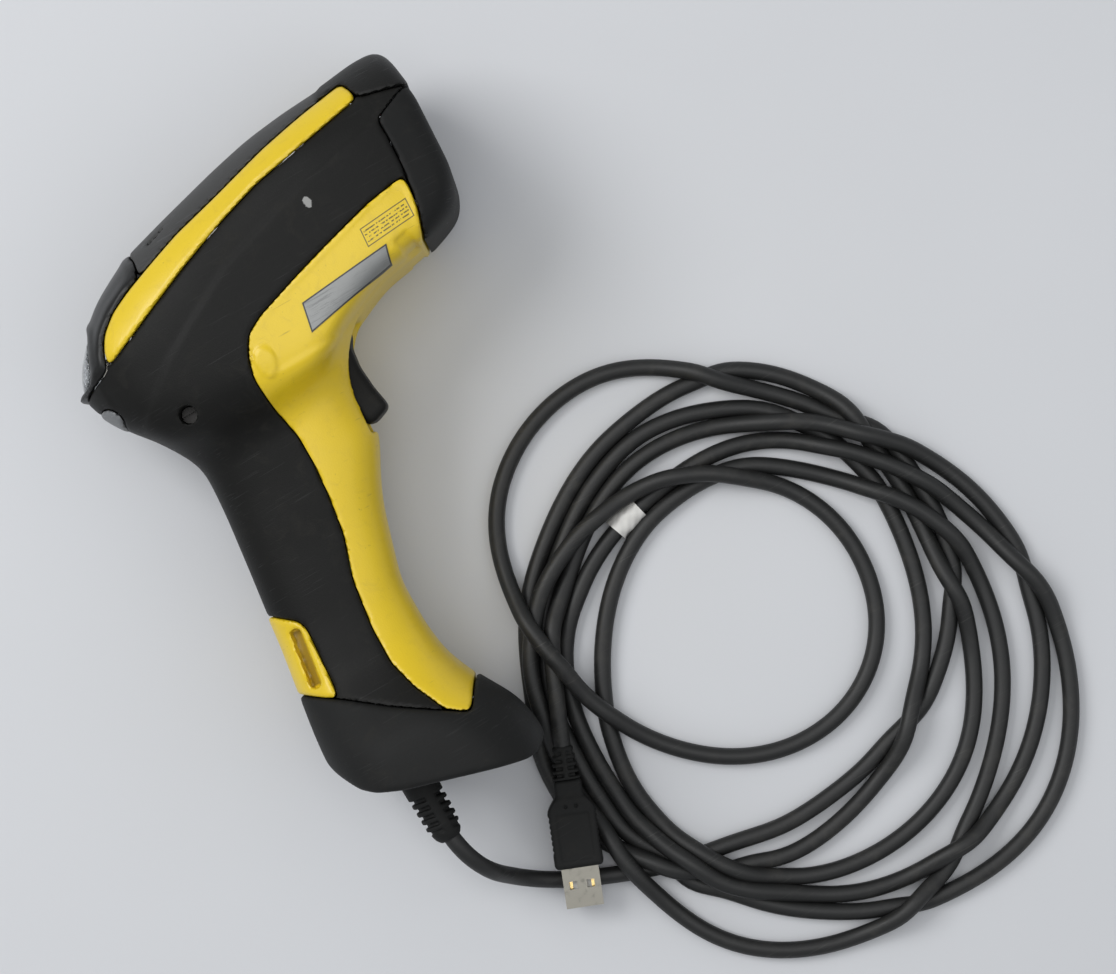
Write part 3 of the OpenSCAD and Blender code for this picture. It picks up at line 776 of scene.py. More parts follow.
class Form:
    """The scanner's whole outer form as a block of distances, in mm from its mid plane."""

    def __init__(self, step, gap):
        self.step = step
        self.gap = gap
        self.x = np.arange(*FORM_X, step)
        self.y = np.arange(*FORM_Y, step)
        self.z = np.arange(0, HALF_WIDTH + 4, step)
        x, y, z = self.x[:, None, None], self.y[None, :, None], self.z[None, None, :]
        low, high, half = (profile(HEAD, c, self.x)[:, None, None] for c in (1, 2, 3))
        low_shape = np.interp(self.x, *zip(*LOW_SHAPE))[:, None, None]
        head = evened(tube_distance(y, z, low, high, half, low_shape, TOP_SHAPE), step)
        head = smooth_max(head, REAR_END - x, REAR_EDGE)
        rear, front, half = (profile(HANDLE, c, self.y)[None, :, None] for c in (1, 2, 3))
        handle = evened(tube_distance(x, z, rear, front, half, HANDLE_SHAPE, HANDLE_SHAPE), step)
        handle = smooth_max(handle, y - HANDLE_TOP, 4.0)
        body = smooth_min(head, handle, NECK_BLEND)
        body = smooth_max(body, z - HALF_WIDTH, SIDE_EDGE)
        nose = soften(outline_distance(NOSE, self.x, self.y), 1.2 / step)[:, :, None]
        sole = soften(outline_distance(SOLE, self.x, self.y), 0.8 / step)[:, :, None]
        self.field = smooth_max(smooth_max(body, nose, NOSE_EDGE), sole, SOLE_EDGE)
        self.flat = {}

    def outline(self, points):
        key = tuple(points)
        if key not in self.flat:
            self.flat[key] = soften(outline_distance(points, self.x, self.y), OUTLINE_SOFTNESS / self.step)
        return self.flat[key]

    def block(self, flat):
        """The part of the block that holds an outline, with room round it."""
        near = np.argwhere(flat < 3.0)
        (x0, y0), (x1, y1) = near.min(0), near.max(0) + 1
        return slice(max(x0 - 2, 0), x1 + 2), slice(max(y0 - 2, 0), y1 + 2)

    def skin(self, flat, wall=WALL, lift=0.0, edge=0.6, shape=None):
        """Distances of the stretch of cover inside a side outline."""
        part = self.block(flat)
        x = self.x[part[0], None, None]
        y = self.y[None, part[1], None]
        z = self.z[None, None, :]
        skin = self.field[part] - lift
        if shape is not None:
            skin = shape(skin, x, y, z, part)
        field = smooth_max(skin, flat[part][:, :, None] + self.gap / 2, edge)
        field = np.maximum(field, -(self.field[part] + wall))
        return field, x, y, z, part

    def mesh(self, field, part):
        """Points in mm and quads, for both sides of the mid plane."""
        both = np.concatenate([field[:, :, :0:-1], field], axis=2)
        return self._points(both, part, -self.z[-1])

    def half_mesh(self, field, part):
        """Points in mm and quads for the upper side only."""
        closed = np.maximum(field, self.gap / 2 - self.z[None, None, :])
        below = np.full_like(closed[:, :, :1], 1.0)
        return self._points(np.concatenate([below, closed], axis=2), part, -self.step)

    def _points(self, block, part, bottom):
        block = np.pad(block, 1, constant_values=1.0)
        origin = (self.x[part[0]][0] - self.step, self.y[part[1]][0] - self.step, bottom - self.step)
        points, quads = surface(block, origin, self.step)
        return fair(points, quads, 1, 0.4), quads

    def height(self, x, y, level):
        """How far out the field has this level, at a place on the side."""
        i = (x - self.x[0]) / self.step
        j = (y - self.y[0]) / self.step
        a, b = int(i), int(j)
        u, v = i - a, j - b
        column = ((1 - u) * (1 - v) * self.field[a, b] + u * (1 - v) * self.field[a + 1, b]
                  + (1 - u) * v * self.field[a, b + 1] + u * v * self.field[a + 1, b + 1]) - level
        first = max(int(np.argmax(column > 0)), 1)
        f0, f1 = column[first - 1], column[first]
        return self.z[first - 1] + self.step * f0 / (f0 - f1)


FORM = {}


def form():
    """The form, worked out once."""
    if "it" not in FORM:
        sizes = bpy.context.scene.scanner_sizes
        FORM["it"] = Form(sizes.detail * 1000, sizes.gap * 1000)
    return FORM["it"]


def to_metres(points, side=1):
    return (points * (1, 1, side) + (0, 0, MIDDLE)) * MM


def finish_piece(piece, slot, *nodes, body="scanner", look=None):
    paint(piece, slot, look)
    if nodes:
        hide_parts(*nodes)
    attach(piece, body)
    return piece


def cut_cover(flat, carve=None, **options):
    """Distances of the cover inside a side outline, with its holes and slots cut."""
    field, x, y, z, part = form().skin(flat, **options)
    if carve is not None:
        field = carve(field, x, y, z, part)
    return field, part


def make_cover(name, outline, slot, node, carve=None, look=None, **options):
    """A cover that wraps round both sides, in place of its CAD node."""
    points, quads = form().mesh(*cut_cover(form().outline(outline), carve, **options))
    finish_piece(new_piece(name, to_metres(points), quads), slot, node, look=look)


def make_pair(name, flat, slot, nodes, carve=None, **options):
    """A left piece and its mirror image, in place of two CAD nodes."""
    points, quads = form().half_mesh(*cut_cover(flat, carve, **options))
    for side, ending, node in zip((1, -1), ("_left", "_right"), nodes):
        piece = new_piece(name + ending, to_metres(points, side), quads[:, ::side])
        finish_piece(piece, slot, node)


def make_block(name, distance, low, high, step, place):
    """Meshes a small piece from its own distance function and sets it in its place."""
    axes = [np.arange(a - 2 * step, b + 3 * step, step) for a, b in zip(low, high)]
    x, y, z = axes[0][:, None, None], axes[1][None, :, None], axes[2][None, None, :]
    field = distance(x, y, z) + np.zeros((len(axes[0]), len(axes[1]), len(axes[2])))
    points, quads = surface(field, [a[0] for a in axes], step)
    points = fair(points, quads, 1, 0.4) * MM
    turned = points @ np.array(place.to_3x3()).T + np.array(place.to_translation())
    return new_piece(name, turned, quads)


def rounded_box(x, y, z, low, high, radius):
    """Distance to a box with rounded edges."""
    parts = []
    for value, a, b in zip((x, y, z), low, high):
        parts.append(np.abs(value - (a + b) / 2) - (b - a) / 2 + radius)
    outside = np.sqrt(sum(np.maximum(p, 0) ** 2 for p in parts))
    inner = np.minimum(np.maximum(np.maximum(parts[0], parts[1]), parts[2]), 0)
    return outside + inner - radius


def turned(x, y, middle_x, middle_y, cosine, sine):
    """Places along and across a line that leans by this cosine and sine, about a middle."""
    x, y = x - middle_x, y - middle_y
    return x * cosine + y * sine, y * cosine - x * sine


def capsule(x, y, start, end, radius):
    """Distance to a flat slot with round ends."""
    ex, ey = end[0] - start[0], end[1] - start[1]
    along = np.clip(((x - start[0]) * ex + (y - start[1]) * ey) / (ex * ex + ey * ey), 0, 1)
    return np.hypot(x - start[0] - along * ex, y - start[1] - along * ey) - radius


# --- the lead -------------------------------------------------------------------------------

def spline(values, at):
    """Smooth curve through evenly spaced values."""
    values = np.asarray(values, float)
    i = np.clip(np.floor(at).astype(int), 0, len(values) - 2)
    f = at - i
    a = values[np.maximum(i - 1, 0)]
    b = values[i]
    c = values[i + 1]
    d = values[np.minimum(i + 2, len(values) - 1)]
    return b + f * ((c - a) / 2 + f * ((2 * a - 5 * b + 4 * c - d) / 2 + f * (3 * b - a - 3 * c + d) / 2))


def spaced(points, gap):
    """The same line with its points an even distance apart, any further columns with them."""
    reach = np.concatenate([[0], np.cumsum(np.linalg.norm(np.diff(points[:, :3], axis=0), axis=1))])
    at = np.linspace(0, reach[-1], int(round(reach[-1] / gap)) + 1)
    return np.stack([np.interp(at, reach, points[:, c]) for c in range(points.shape[1])], axis=1)


def smoothed(values, width):
    """Smooths a run of values or points and leaves its ends where they are."""
    weights, reach = bell(width)
    run = np.asarray(values, float)
    if run.ndim == 1:
        run = run[:, None]
    before = 2 * run[0] - run[reach:0:-1]
    after = 2 * run[-1] - run[-2:-reach - 2:-1]
    wide = np.concatenate([before, run, after])
    out = np.stack([np.convolve(wide[:, c], weights, "valid") for c in range(run.shape[1])], axis=1)
    return out[:, 0] if np.ndim(values) == 1 else out


def cord_route(diameter):
    """The whole lead as points in mm, with its angle round the coil at each point."""
    radii = [r for row in COIL for r in row]
    last = len(radii) - 1
    at = np.arange(0, last + 0.001, 0.2)
    angle = COIL_START + at * COIL_STEP
    radius = spline(radii, at)
    # Columns: x, y, z, angle, and 1 where the point is held fast
    coil = np.stack([
        COIL_AT[0] + radius * np.cos(np.radians(angle)), COIL_AT[1] + radius * np.sin(np.radians(angle)),
        np.zeros(len(at)), angle, np.zeros(len(at)),
    ], axis=1)
    lead = np.array([(*p, COIL_START - 20, 1) for p in LEAD], float)
    tail = np.array([(*p, COIL_START + last * COIL_STEP + 40, 1) for p in TAIL], float)
    rows = spaced(np.concatenate([lead, coil, tail]), CORD_STEP)
    rows[:, :2] = smoothed(rows[:, :2], CORD_EASE / CORD_STEP)
    rows = spaced(rows, CORD_STEP)
    rank = np.zeros(len(rows))
    for row, angle in enumerate(rows[:, 3]):
        turn = int((angle - COIL_START) // 360)
        rank[row] = TURN_RANK[min(max(turn, 0), len(TURN_RANK) - 1)]
        for t, first, final, value in CROSSINGS:
            if t == turn and first <= angle <= final:
                rank[row] = value
    rank[rows[:, 3] < COIL_START] = LEAD_RANK
    rank[rows[:, 3] > COIL_START + last * COIL_STEP] = TAIL_RANK
    return settle(rows[:, :3], rows[:, 4] > 0.99, rank, diameter), rows[:, 3]


def plug_beads():
    """Balls that fill the plug's rubber, as x, y, z and radius, for the lead to lie against."""
    turn = math.radians(PLUG_TURN)
    beads = []
    for along in np.arange(1.0, RELIEF_LENGTH + NECK_LENGTH + BODY_LENGTH, 2.0):
        wide = 0.0 if along < RELIEF_LENGTH else 1.0
        if along >= RELIEF_LENGTH + NECK_LENGTH:
            wide = BEAD_RADIUS
        for side in (-wide, 0.0, wide):
            beads.append((PLUG_AT[0] + along * math.cos(turn) - side * math.sin(turn),
                          PLUG_AT[1] + along * math.sin(turn) + side * math.cos(turn),
                          PLUG_AT[2], BEAD_RADIUS))
    return np.array(beads)


def settle(rows, fixed, rank, diameter):
    """Lets the lead sink as a springy line on the table, under the plug and on itself.

    A line of higher rank starts higher, so it comes to lie on top. Lines that would pass
    through each other are pushed apart, up and sideways, and drawn back to their places."""
    radius = diameter / 2
    count = len(rows)
    least = 0.05      # keeps a division from failing where two points meet
    plan = rows * (1, 1, 0)
    shift = np.zeros((count, 3))
    shift[:, 2] = smoothed(radius + RANK_STEP * rank, CORD_EASE / CORD_STEP)
    beads = plug_beads()
    index = np.arange(count)
    apart = np.linalg.norm(plan[:, None, :2] - plan[None, :, :2], axis=2)
    later = (index[None] - index[:, None]) * CORD_STEP
    one, two = np.nonzero((apart < 2.2 * diameter) & (later > 6 * diameter))
    apart = np.linalg.norm(plan[:, None, :2] - beads[None, :, :2], axis=2)
    own, bead = np.nonzero((apart < BEAD_REACH) & ~fixed[:, None])
    room = radius + beads[bead, 3]
    for _ in range(SETTLE_ROUNDS):
        spot = plan + shift
        push = np.zeros_like(shift)
        hits = np.zeros(count)
        line = spot[two] - spot[one]
        size = np.maximum(np.linalg.norm(line, axis=1), least)
        move = line * (0.5 * np.maximum(diameter - size, 0) / size)[:, None]
        np.add.at(push, one, -move)
        np.add.at(push, two, move)
        np.add.at(hits, one, size < diameter)
        np.add.at(hits, two, size < diameter)
        line = spot[own] - beads[bead, :3]
        size = np.maximum(np.linalg.norm(line, axis=1), least)
        np.add.at(push, own, line * (np.maximum(room - size, 0) / size)[:, None])
        np.add.at(hits, own, size < room)
        shift += SETTLE_PUSH * push / np.maximum(hits, 1)[:, None]
        shift[:, :2] *= SETTLE_KEEP
        shift[:, 2] -= SETTLE_SINK
        shift += SETTLE_STIFFNESS * (smoothed(shift, 3.0 / CORD_STEP) - shift)
        shift[:, 2] = np.maximum(shift[:, 2], radius)
        shift[fixed] = rows[fixed] * (0, 0, 1)
    return plan + smoothed(shift, 2.0 / CORD_STEP)


def make_sleeve(route, angle):
    """A plain film label wrapped round the lead, a little crumpled."""
    middle = int(np.argmin(np.abs(angle - SLEEVE_ANGLE)))
    reach = int(SLEEVE_LENGTH / 2 / CORD_STEP) + 1
    line = spaced(route[middle - reach:middle + reach + 1], SLEEVE_STEP)
    line = line[:int(SLEEVE_LENGTH / SLEEVE_STEP)]
    last = len(line) - 1
    points = []
    for outer, run in ((True, range(last + 1)), (False, range(last, -1, -1))):
        for i in run:
            ahead = line[min(i + 1, last)] - line[max(i - 1, 0)]
            ahead = ahead / np.linalg.norm(ahead)
            side = np.cross(ahead, (0, 0, 1))
            side = side / np.linalg.norm(side)
            up = np.cross(side, ahead)
            for k in range(SLEEVE_SIDES):
                a = 2 * math.pi * k / SLEEVE_SIDES
                wrinkle = 0.12 * math.sin(3 * a + i * 0.5) + 0.07 * math.sin(7 * a - i * 0.9)
                lip = 0.55 * max(0.0, 1 - k / 4)
                r = SLEEVE_OUTSIDE + wrinkle + lip if outer else SLEEVE_INSIDE
                points.append(line[i] + r * (1.14 * math.cos(a) * side + 0.98 * math.sin(a) * up))
    count = len(points) // SLEEVE_SIDES
    faces = []
    for i in range(count):
        a, b = i * SLEEVE_SIDES, ((i + 1) % count) * SLEEVE_SIDES
        for k in range(SLEEVE_SIDES):
            n = (k + 1) % SLEEVE_SIDES
            faces.append((a + k, a + n, b + n, b + k))
    return finish_piece(new_piece("lead_sleeve", np.array(points) * MM, faces), "white_label", "cord_sleeve")


def make_strain_relief():
    """Ribbed rubber boot, slotted on both sides of a spine, where the lead leaves the foot."""
    half = STRAIN_RELIEF_LENGTH / 2

    def distance(x, y, z):
        around = np.hypot(y, z)
        outer = np.interp(x[:, 0, 0], *STRAIN_RELIEF_PROFILE)[:, None, None]
        field = smooth_max(around - outer, np.abs(x - half) - half, 1.0)
        for at in STRAIN_RELIEF_SLOTS:
            slot = np.maximum(np.abs(x - at - 0.12 * y) - 0.6, 4.4 - around)
            slot = np.maximum(slot, 1.6 - np.abs(y - 1.3))
            field = smooth_max(field, -slot, 0.5)
        return np.maximum(field, 2.4 - around)

    place = Matrix.Translation(Vector((EXIT[0], STRAIN_RELIEF_TOP, MIDDLE)) * MM)
    place = place @ Matrix.Rotation(-math.pi / 2, 4, "Z")
    end = (STRAIN_RELIEF_LENGTH, 6, 6)
    piece = make_block("strain_relief_boot", distance, (0, -6, -6), end, 0.35, place)
    return finish_piece(piece, "black_rubber", "strain_relief")


def make_plug():
    """Ribbed relief and over-moulded body of the plug."""
    place = Matrix.Translation(Vector(PLUG_AT) * MM) @ Matrix.Rotation(math.radians(PLUG_TURN), 4, "Z")
    wide, thick = BODY_HALF
    end = NECK_LENGTH + BODY_LENGTH

    def relief(x, y, z):
        size = 3.3 + 0.11 * x
        field = smooth_max(np.abs(y) - size, np.abs(z) - size * 0.86, 2.6)
        field = smooth_max(field, np.abs(x - RELIEF_LENGTH / 2) - RELIEF_LENGTH / 2, 0.6)
        for at in PLUG_RIBS:
            slot = np.maximum(np.abs(x - at) - 0.55, 2.9 - np.maximum(np.abs(y), np.abs(z) * 1.2))
            slot = np.maximum(slot, 0.8 - np.abs(y))
            field = smooth_max(field, -slot, 0.4)
        return field

    def body(x, y, z):
        neck = rounded_box(x, y, z, (0, -4.5, -3.6), (NECK_LENGTH + 3, 4.5, 3.6), 1.3)
        main = rounded_box(x, y, z, (NECK_LENGTH, -wide, -thick), (end, wide, thick), 1.5)
        shoulder = (np.abs(y) + 0.75 * (NECK_LENGTH + 4.2 - x)) - wide
        main = smooth_max(main, shoulder, 1.0)
        field = smooth_min(neck, main, 1.2)
        for at in np.arange(NECK_LENGTH + 6.5, NECK_LENGTH + 17.5, 1.8):
            groove = np.hypot(x - at, np.abs(y) - 8.15) - 0.75
            field = smooth_max(field, -groove, 0.3)
        panel = rounded_box(x, y, np.abs(z), (NECK_LENGTH + 5.5, -5.4, 3.65), (end - 2.5, 5.4, 6), 0.6)
        field = smooth_max(field, -panel, 0.35)
        for side in (-1, 1):
            dot = np.hypot(x - NECK_LENGTH - 3.2, y - side * 1.7) - 0.55
            field = smooth_max(field, -np.maximum(dot, 3.3 - np.abs(z)), 0.2)
        return field

    ribs = make_block("plug_ribs", relief, (0, -5, -5), (RELIEF_LENGTH, 5, 5), 0.32, place)
    ahead = place @ Matrix.Translation((RELIEF_LENGTH * MM, 0, 0))
    grip = make_block("plug_grip", body, (0, -8.2, -4.2), (end, 8.2, 4.2), 0.35, ahead)
    finish_piece(ribs, "black_rubber", "plug_relief")
    finish_piece(grip, "black_rubber", "plug_body")
    return [ribs, grip]


# --- operators ------------------------------------------------------------------------------

class PieceOperator(bpy.types.Operator):
    """Adds a piece of the scanner to the scene"""
    bl_options = {"REGISTER", "UNDO"}


class SCANNER_OT_camera(PieceOperator):
    """Sets up the camera above the table"""
    bl_idname = "scanner.camera"
    bl_label = "Camera"

    def execute(self, context):
        data = bpy.data.cameras.new("camera")
        data.sensor_width = CAMERA_SENSOR
        data.lens = CAMERA_LENS
        data.clip_end = 10.0
        camera = add_object("camera", data)
        camera.location = CAMERA_AT
        camera.rotation_euler = (0, 0, math.radians(CAMERA_TURN))
        context.scene.camera = camera
        return {"FINISHED"}


class SCANNER_OT_finishes(PieceOperator):
    """Makes the materials and gives the carried-over parts theirs"""
    bl_idname = "scanner.finishes"
    bl_label = "Finishes"

    def execute(self, context):
        FINISHES.update(make_finishes(context.scene.scanner_colours))
        for part in frame["record"]["subparts"]:
            node = frame["nodes"][part["node"]]
            node.data.materials.clear()
            look = "dark_steel" if part["node"] == "housing_screws" else part["material_slot"]
            node.data.materials.append(FINISHES[look].material)
        return {"FINISHED"}


class SCANNER_OT_cord(PieceOperator):
    """Lays the lead from its boot, round the coil, to its plug, with the sleeve on it"""
    bl_idname = "scanner.cord"
    bl_label = "Lead"

    def execute(self, context):
        sizes = context.scene.scanner_sizes
        route, angle = cord_route(sizes.cord_diameter * 1000)
        curve = bpy.data.curves.new("lead", "CURVE")
        curve.dimensions = "3D"
        curve.bevel_depth = sizes.cord_diameter / 2
        curve.bevel_resolution = sizes.cord_sides
        curve.use_fill_caps = True
        line = curve.splines.new("POLY")
        line.points.add(len(route) - 1)
        line.points.foreach_set("co", np.column_stack([route * MM, np.ones(len(route))]).ravel())
        line.use_smooth = True
        lead = add_object("lead", curve)
        finish_piece(lead, "cord_jacket", "cord_lead", "cord_coil", "cord_tail")
        pieces = [make_sleeve(route, angle), make_strain_relief(), *make_plug()]
        return {"FINISHED"}


class SCANNER_OT_housings(PieceOperator):
    """Makes the two black side shells with their screw recesses"""
    bl_idname = "scanner.housings"
    bl_label = "Side shells"

    def execute(self, context):
        shape = form()
        covered = np.minimum.reduce([shape.outline(points) for points in COVERS])
        crease = outline_distance(CREASE + [(-60, 130), (90, 130)], shape.x, shape.y)
        crease = soften(crease, 1.0 / shape.step)

        def shoulder(skin, x, y, z, part):
            above = np.clip(-crease[part][:, :, None] / CREASE_WIDTH, 0, 1)
            return skin + CREASE_STEP * above * above * (3 - 2 * above) * np.clip((z - 20) / 8, 0, 1)

        def screw_recess(field, x, y, z, part):
            around = np.hypot(x - SCREW_AT[0], y - SCREW_AT[1])
            boss = smooth_max(np.maximum(around - SCREW_BOSS, 3 - z), shape.field[part] + 1.0, 0.4)
            field = smooth_min(field, boss, 0.6)
            hole = np.maximum(around - SCREW_HOLE, SCREW_SEAT - z)
            return smooth_max(field, -hole, 0.5)

        make_pair("side_shell", -covered, "black_shell", ("housing_left", "housing_right"), screw_recess,
                  shape=shoulder)
        return {"FINISHED"}


class SCANNER_OT_grip(PieceOperator):
    """Makes the yellow grip with the trigger opening"""
    bl_idname = "scanner.grip"
    bl_label = "Grip"

    def execute(self, context):
        panel = form().outline(PANEL)

        def sides(skin, x, y, z, part):
            side = np.clip((z - 12) / 6, 0, 1)
            u, v = turned(x, y, *BUTTON_AT)
            round_button = (u / BUTTON_SIZE[0]) ** 2 + (v / BUTTON_SIZE[1]) ** 2
            skin = skin - BUTTON_RISE * side * np.clip((1.12 - round_button) / 0.25, 0, 1)
            sunk = np.clip(0.5 - panel[part][:, :, None] / 0.9, 0, 1)
            u, v = turned(x, y, *RECESS_AT)
            outside = np.maximum(np.abs(u) - RECESS_SIZE[0], np.abs(v) - RECESS_SIZE[1])
            recess = np.clip(0.5 - outside / 0.8, 0, 1)
            return skin + side * (PANEL_DEPTH * sunk + RECESS_DEPTH * recess)

        def opening(field, x, y, z, part):
            return smooth_max(field, -rounded_box(x, y, z, *TRIGGER_OPENING, 1.2), 0.8)

        make_cover("yellow_grip", GRIP, "yellow_shell", "front_grip", opening, shape=sides, wall=GRIP_WALL)
        return {"FINISHED"}


class SCANNER_OT_stripes(PieceOperator):
    """Makes the raised yellow stripe on each side of the head"""
    bl_idname = "scanner.stripes"
    bl_label = "Stripes"

    def execute(self, context):
        make_pair("yellow_stripe", form().outline(STRIPE), "yellow_shell", ("stripe_left", "stripe_right"),
                  lift=0.45, edge=ROUND_EDGE)
        return {"FINISHED"}


class SCANNER_OT_top_cover(PieceOperator):
    """Makes the dark grey top cover with its sounder holes"""
    bl_idname = "scanner.top_cover"
    bl_label = "Top cover"

    def execute(self, context):
        def sounder_holes(field, x, y, z, part):
            for hx, hy in SIDE_HOLES:
                hole = np.hypot(x - hx, ((y - hy) - (z - SIDE_HOLES_OUT)) * HALF_RIGHT) - 0.95
                hole = np.maximum(hole, np.abs(z - SIDE_HOLES_OUT) - 6)
                field = smooth_max(field, -hole, 0.3)
            for hx in TOP_HOLES:
                hole = np.hypot(x - hx, np.abs(z - 3.5) - 3.5) - 0.8
                field = smooth_max(field, -np.maximum(hole, 70 - y), 0.3)
            return field

        def hood(skin, x, y, z, part):
            return skin - HOOD_RISE * np.clip((x - HOOD_AT[0] - 0.5 * (y - HOOD_AT[1])) / 1.0, 0, 1)

        make_cover("top_cover_shell", COVER, "grey_cover", "top_cover", sounder_holes, shape=hood)
        return {"FINISHED"}


class SCANNER_OT_rear(PieceOperator):
    """Makes the rear bezel, its window, the cap and the clip"""
    bl_idname = "scanner.rear"
    bl_label = "Rear pieces"

    def execute(self, context):
        window = form().outline(WINDOW)
        bezel = form().outline(BEZEL)

        def rim(skin, x, y, z, part):
            inner = -bezel[part][:, :, None]
            ridge = np.exp(-((inner - 2.3) / 1.5) ** 2) * np.clip((-33 - x) / 6, 0, 1)
            lip = np.exp(-((window[part][:, :, None] - 1.6) / 1.2) ** 2)
            return skin - RIM_RISE * ridge - LIP_RISE * lip

        def opening(field, x, y, z, part):
            return smooth_max(field, -(window[part][:, :, None] - 0.15), 0.9)

        def slots(field, x, y, z, part):
            slot = np.maximum(capsule(x, y, *CLIP_SLOT), -(form().field[part] + SLOT_DEPTH))
            return smooth_max(field, -np.maximum(slot, 12 - z), 1.0)

        make_cover("rear_bezel_rim", BEZEL, "black_rubber", "rear_bezel", opening, look="gloss_rim",
                   shape=rim)
        make_cover("rear_window_pane", WINDOW, "clear_window", "rear_window", lift=-1.0)
        make_cover("rear_cap_cover", CAP, "grey_cap", "rear_cap", lift=0.4, edge=ROUND_EDGE)
        make_cover("rear_clip_insert", CLIP, "yellow_shell", "rear_clip", slots, wall=4.8, lift=0.3,
                   edge=ROUND_EDGE)
        return {"FINISHED"}


class SCANNER_OT_nose(PieceOperator):
    """Makes the rubber boot round the scanning window"""
    bl_idname = "scanner.nose"
    bl_label = "Nose boot"

    def execute(self, context):
        def opening(field, x, y, z, part):
            return smooth_max(field, -rounded_box(x, y, z, *NOSE_OPENING, 2.5), 1.6)

        make_cover("nose_boot_shell", BOOT, "black_rubber", "nose_boot", opening, edge=0.5)
        return {"FINISHED"}


class SCANNER_OT_foot(PieceOperator):
    """Makes the rubber foot with the hole for the lead's boot"""
    bl_idname = "scanner.foot"
    bl_label = "Foot"

    def execute(self, context):
        def opening(field, x, y, z, part):
            hole = np.maximum(np.hypot(x - EXIT[0], z) - 6.1, y + 85)
            return smooth_max(field, -hole, 0.8)

        make_cover("foot_boot", FOOT, "black_rubber", "foot", opening, wall=3.0, lift=0.3, edge=ROUND_EDGE)
        return {"FINISHED"}


class SCANNER_OT_trigger(PieceOperator):
    """Makes the trigger"""
    bl_idname = "scanner.trigger"
    bl_label = "Trigger"

    def execute(self, context):
        def distance(x, y, z):
            flat = outline_distance(TRIGGER, x[:, 0, 0], y[0, :, 0])
            flat = soften(flat, 1.6)[:, :, None]
            hub = np.hypot(x - PIVOT[0], y - PIVOT[1])
            flat = smooth_min(flat, hub - HUB_RADIUS, 1.0)
            field = smooth_max(flat, np.abs(z) - TRIGGER_HALF_WIDTH, 2.6)
            field = smooth_max(field, PIN_HOLE_RADIUS - hub, 0.3)
            finger_groove = np.exp(-((np.abs(z) - 5.5) / 0.5) ** 2) * (x > 9) * 0.25
            return field + finger_groove

        place = Matrix.Translation((0, 0, MIDDLE * MM))
        piece = make_block("trigger_lever", distance, (-6, 6, -9), (17, 43, 9), 0.5, place)
        finish_piece(piece, "black_shell", "trigger", body="trigger")
        return {"FINISHED"}


class SCANNER_OT_label(PieceOperator):
    """Lays the blank label on the side of the grip"""
    bl_idname = "scanner.label"
    bl_label = "Rating label"

    def execute(self, context):
        shape = form()
        columns, rows = LABEL_GRID
        corners = np.array(LABEL, float)
        top, bottom = [], []
        for i in range(columns + 1):
            u = i / columns
            for j in range(rows + 1):
                v = j / rows
                spot = ((1 - v) * ((1 - u) * corners[0] + u * corners[1])
                        + v * ((1 - u) * corners[3] + u * corners[2]))
                top.append((*spot, shape.height(*spot, LABEL_RISE - PANEL_DEPTH)))
                bottom.append((*spot, shape.height(*spot, -PANEL_DEPTH - LABEL_SINK)))
        wide = rows + 1
        under = len(top)
        faces = []
        for i in range(columns):
            for j in range(rows):
                a = i * wide + j
                faces.append((a, a + 1, a + 1 + wide, a + wide))
                faces.append((under + a, under + a + wide, under + a + 1 + wide, under + a + 1))
        edge = [*range(rows), *(i * wide + rows for i in range(columns))]
        edge += [columns * wide + j for j in range(rows, 0, -1)]
        edge += [i * wide for i in range(columns, 0, -1)]
        for a, b in zip(edge, edge[1:] + edge[:1]):
            faces.append((a, under + a, under + b, b))
        piece = new_piece("blank_label", to_metres(np.array(top + bottom)), faces)
        finish_piece(piece, "silver_label", "rating_label")
        return {"FINISHED"}


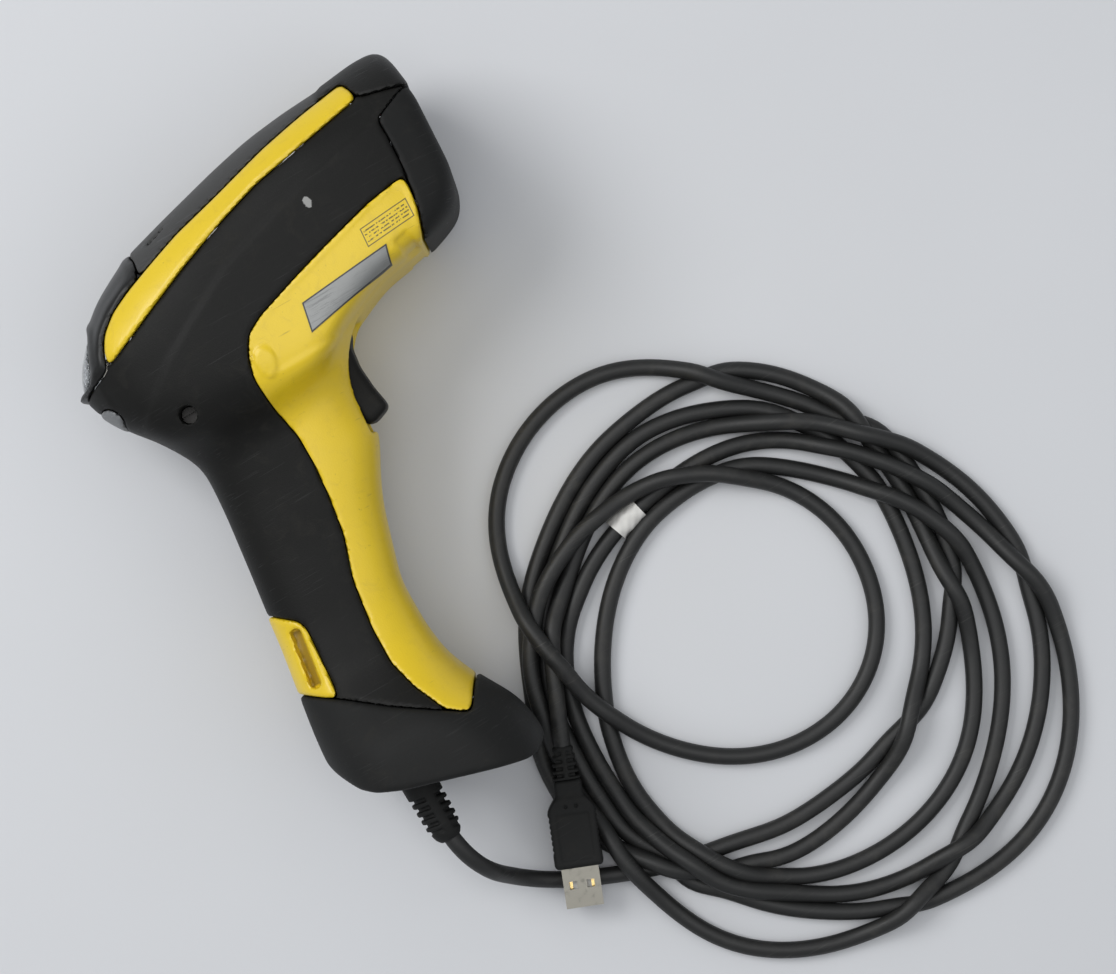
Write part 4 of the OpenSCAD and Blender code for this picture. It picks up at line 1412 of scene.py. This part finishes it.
class SCANNER_OT_stage(PieceOperator):
    """Adds the table top and the soft lights"""
    bl_idname = "scanner.stage"
    bl_label = "Table and lights"

    def execute(self, context):
        scene = context.scene
        corners = [(a * TABLE_REACH, b * TABLE_REACH, 0) for a, b in ((-1, -1), (1, -1), (1, 1), (-1, 1))]
        floor = new_piece("table", corners, [(0, 1, 2, 3)], smooth=False)
        floor.data.materials.append(floor_finish(tuple(scene.scanner_colours.floor)).material)
        scene.view_settings.view_transform = "Standard"
        scene.world = bpy.data.worlds.new("soft_room")
        scene.world.use_nodes = True
        background = scene.world.node_tree.nodes["Background"]
        background.inputs["Color"].default_value = (*ROOM_COLOUR, 1.0)
        background.inputs["Strength"].default_value = ROOM_STRENGTH
        for name, at, energy, wide in LIGHTS:
            data = bpy.data.lights.new(name, "AREA")
            data.energy = energy
            data.size = wide
            lamp = add_object(name, data)
            lamp.location = at
            lamp.rotation_euler = (Vector(LIT_SPOT) - Vector(at)).to_track_quat("-Z", "Y").to_euler()
        return {"FINISHED"}


STEPS = [
    SCANNER_OT_camera, SCANNER_OT_finishes, SCANNER_OT_cord, SCANNER_OT_housings, SCANNER_OT_grip,
    SCANNER_OT_stripes, SCANNER_OT_top_cover, SCANNER_OT_rear, SCANNER_OT_nose, SCANNER_OT_foot,
    SCANNER_OT_trigger, SCANNER_OT_label, SCANNER_OT_stage,
]


class SCANNER_PT_panel(bpy.types.Panel):
    """Lists the scanner's pieces, sizes and colours"""
    bl_idname = "SCANNER_PT_panel"
    bl_label = "Barcode scanner"
    bl_space_type = "VIEW_3D"
    bl_region_type = "UI"
    bl_category = "Scanner"

    def draw(self, context):
        for group in (context.scene.scanner_sizes, context.scene.scanner_colours):
            box = self.layout.box()
            for name in group.__annotations__:
                box.prop(group, name)
        for step in STEPS:
            self.layout.operator(step.bl_idname)


CLASSES = [ScannerSizes, ScannerColours, *STEPS, SCANNER_PT_panel]


def register():
    for item in CLASSES:
        bpy.utils.register_class(item)
    bpy.types.Scene.scanner_sizes = PointerProperty(type=ScannerSizes)
    bpy.types.Scene.scanner_colours = PointerProperty(type=ScannerColours)


def unregister():
    del bpy.types.Scene.scanner_colours
    del bpy.types.Scene.scanner_sizes
    for item in reversed(CLASSES):
        bpy.utils.unregister_class(item)


def main():
    register()
    for step in STEPS:
        group, name = step.bl_idname.split(".")
        getattr(getattr(bpy.ops, group), name)()
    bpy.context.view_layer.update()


if __name__ == "__main__":
    main()
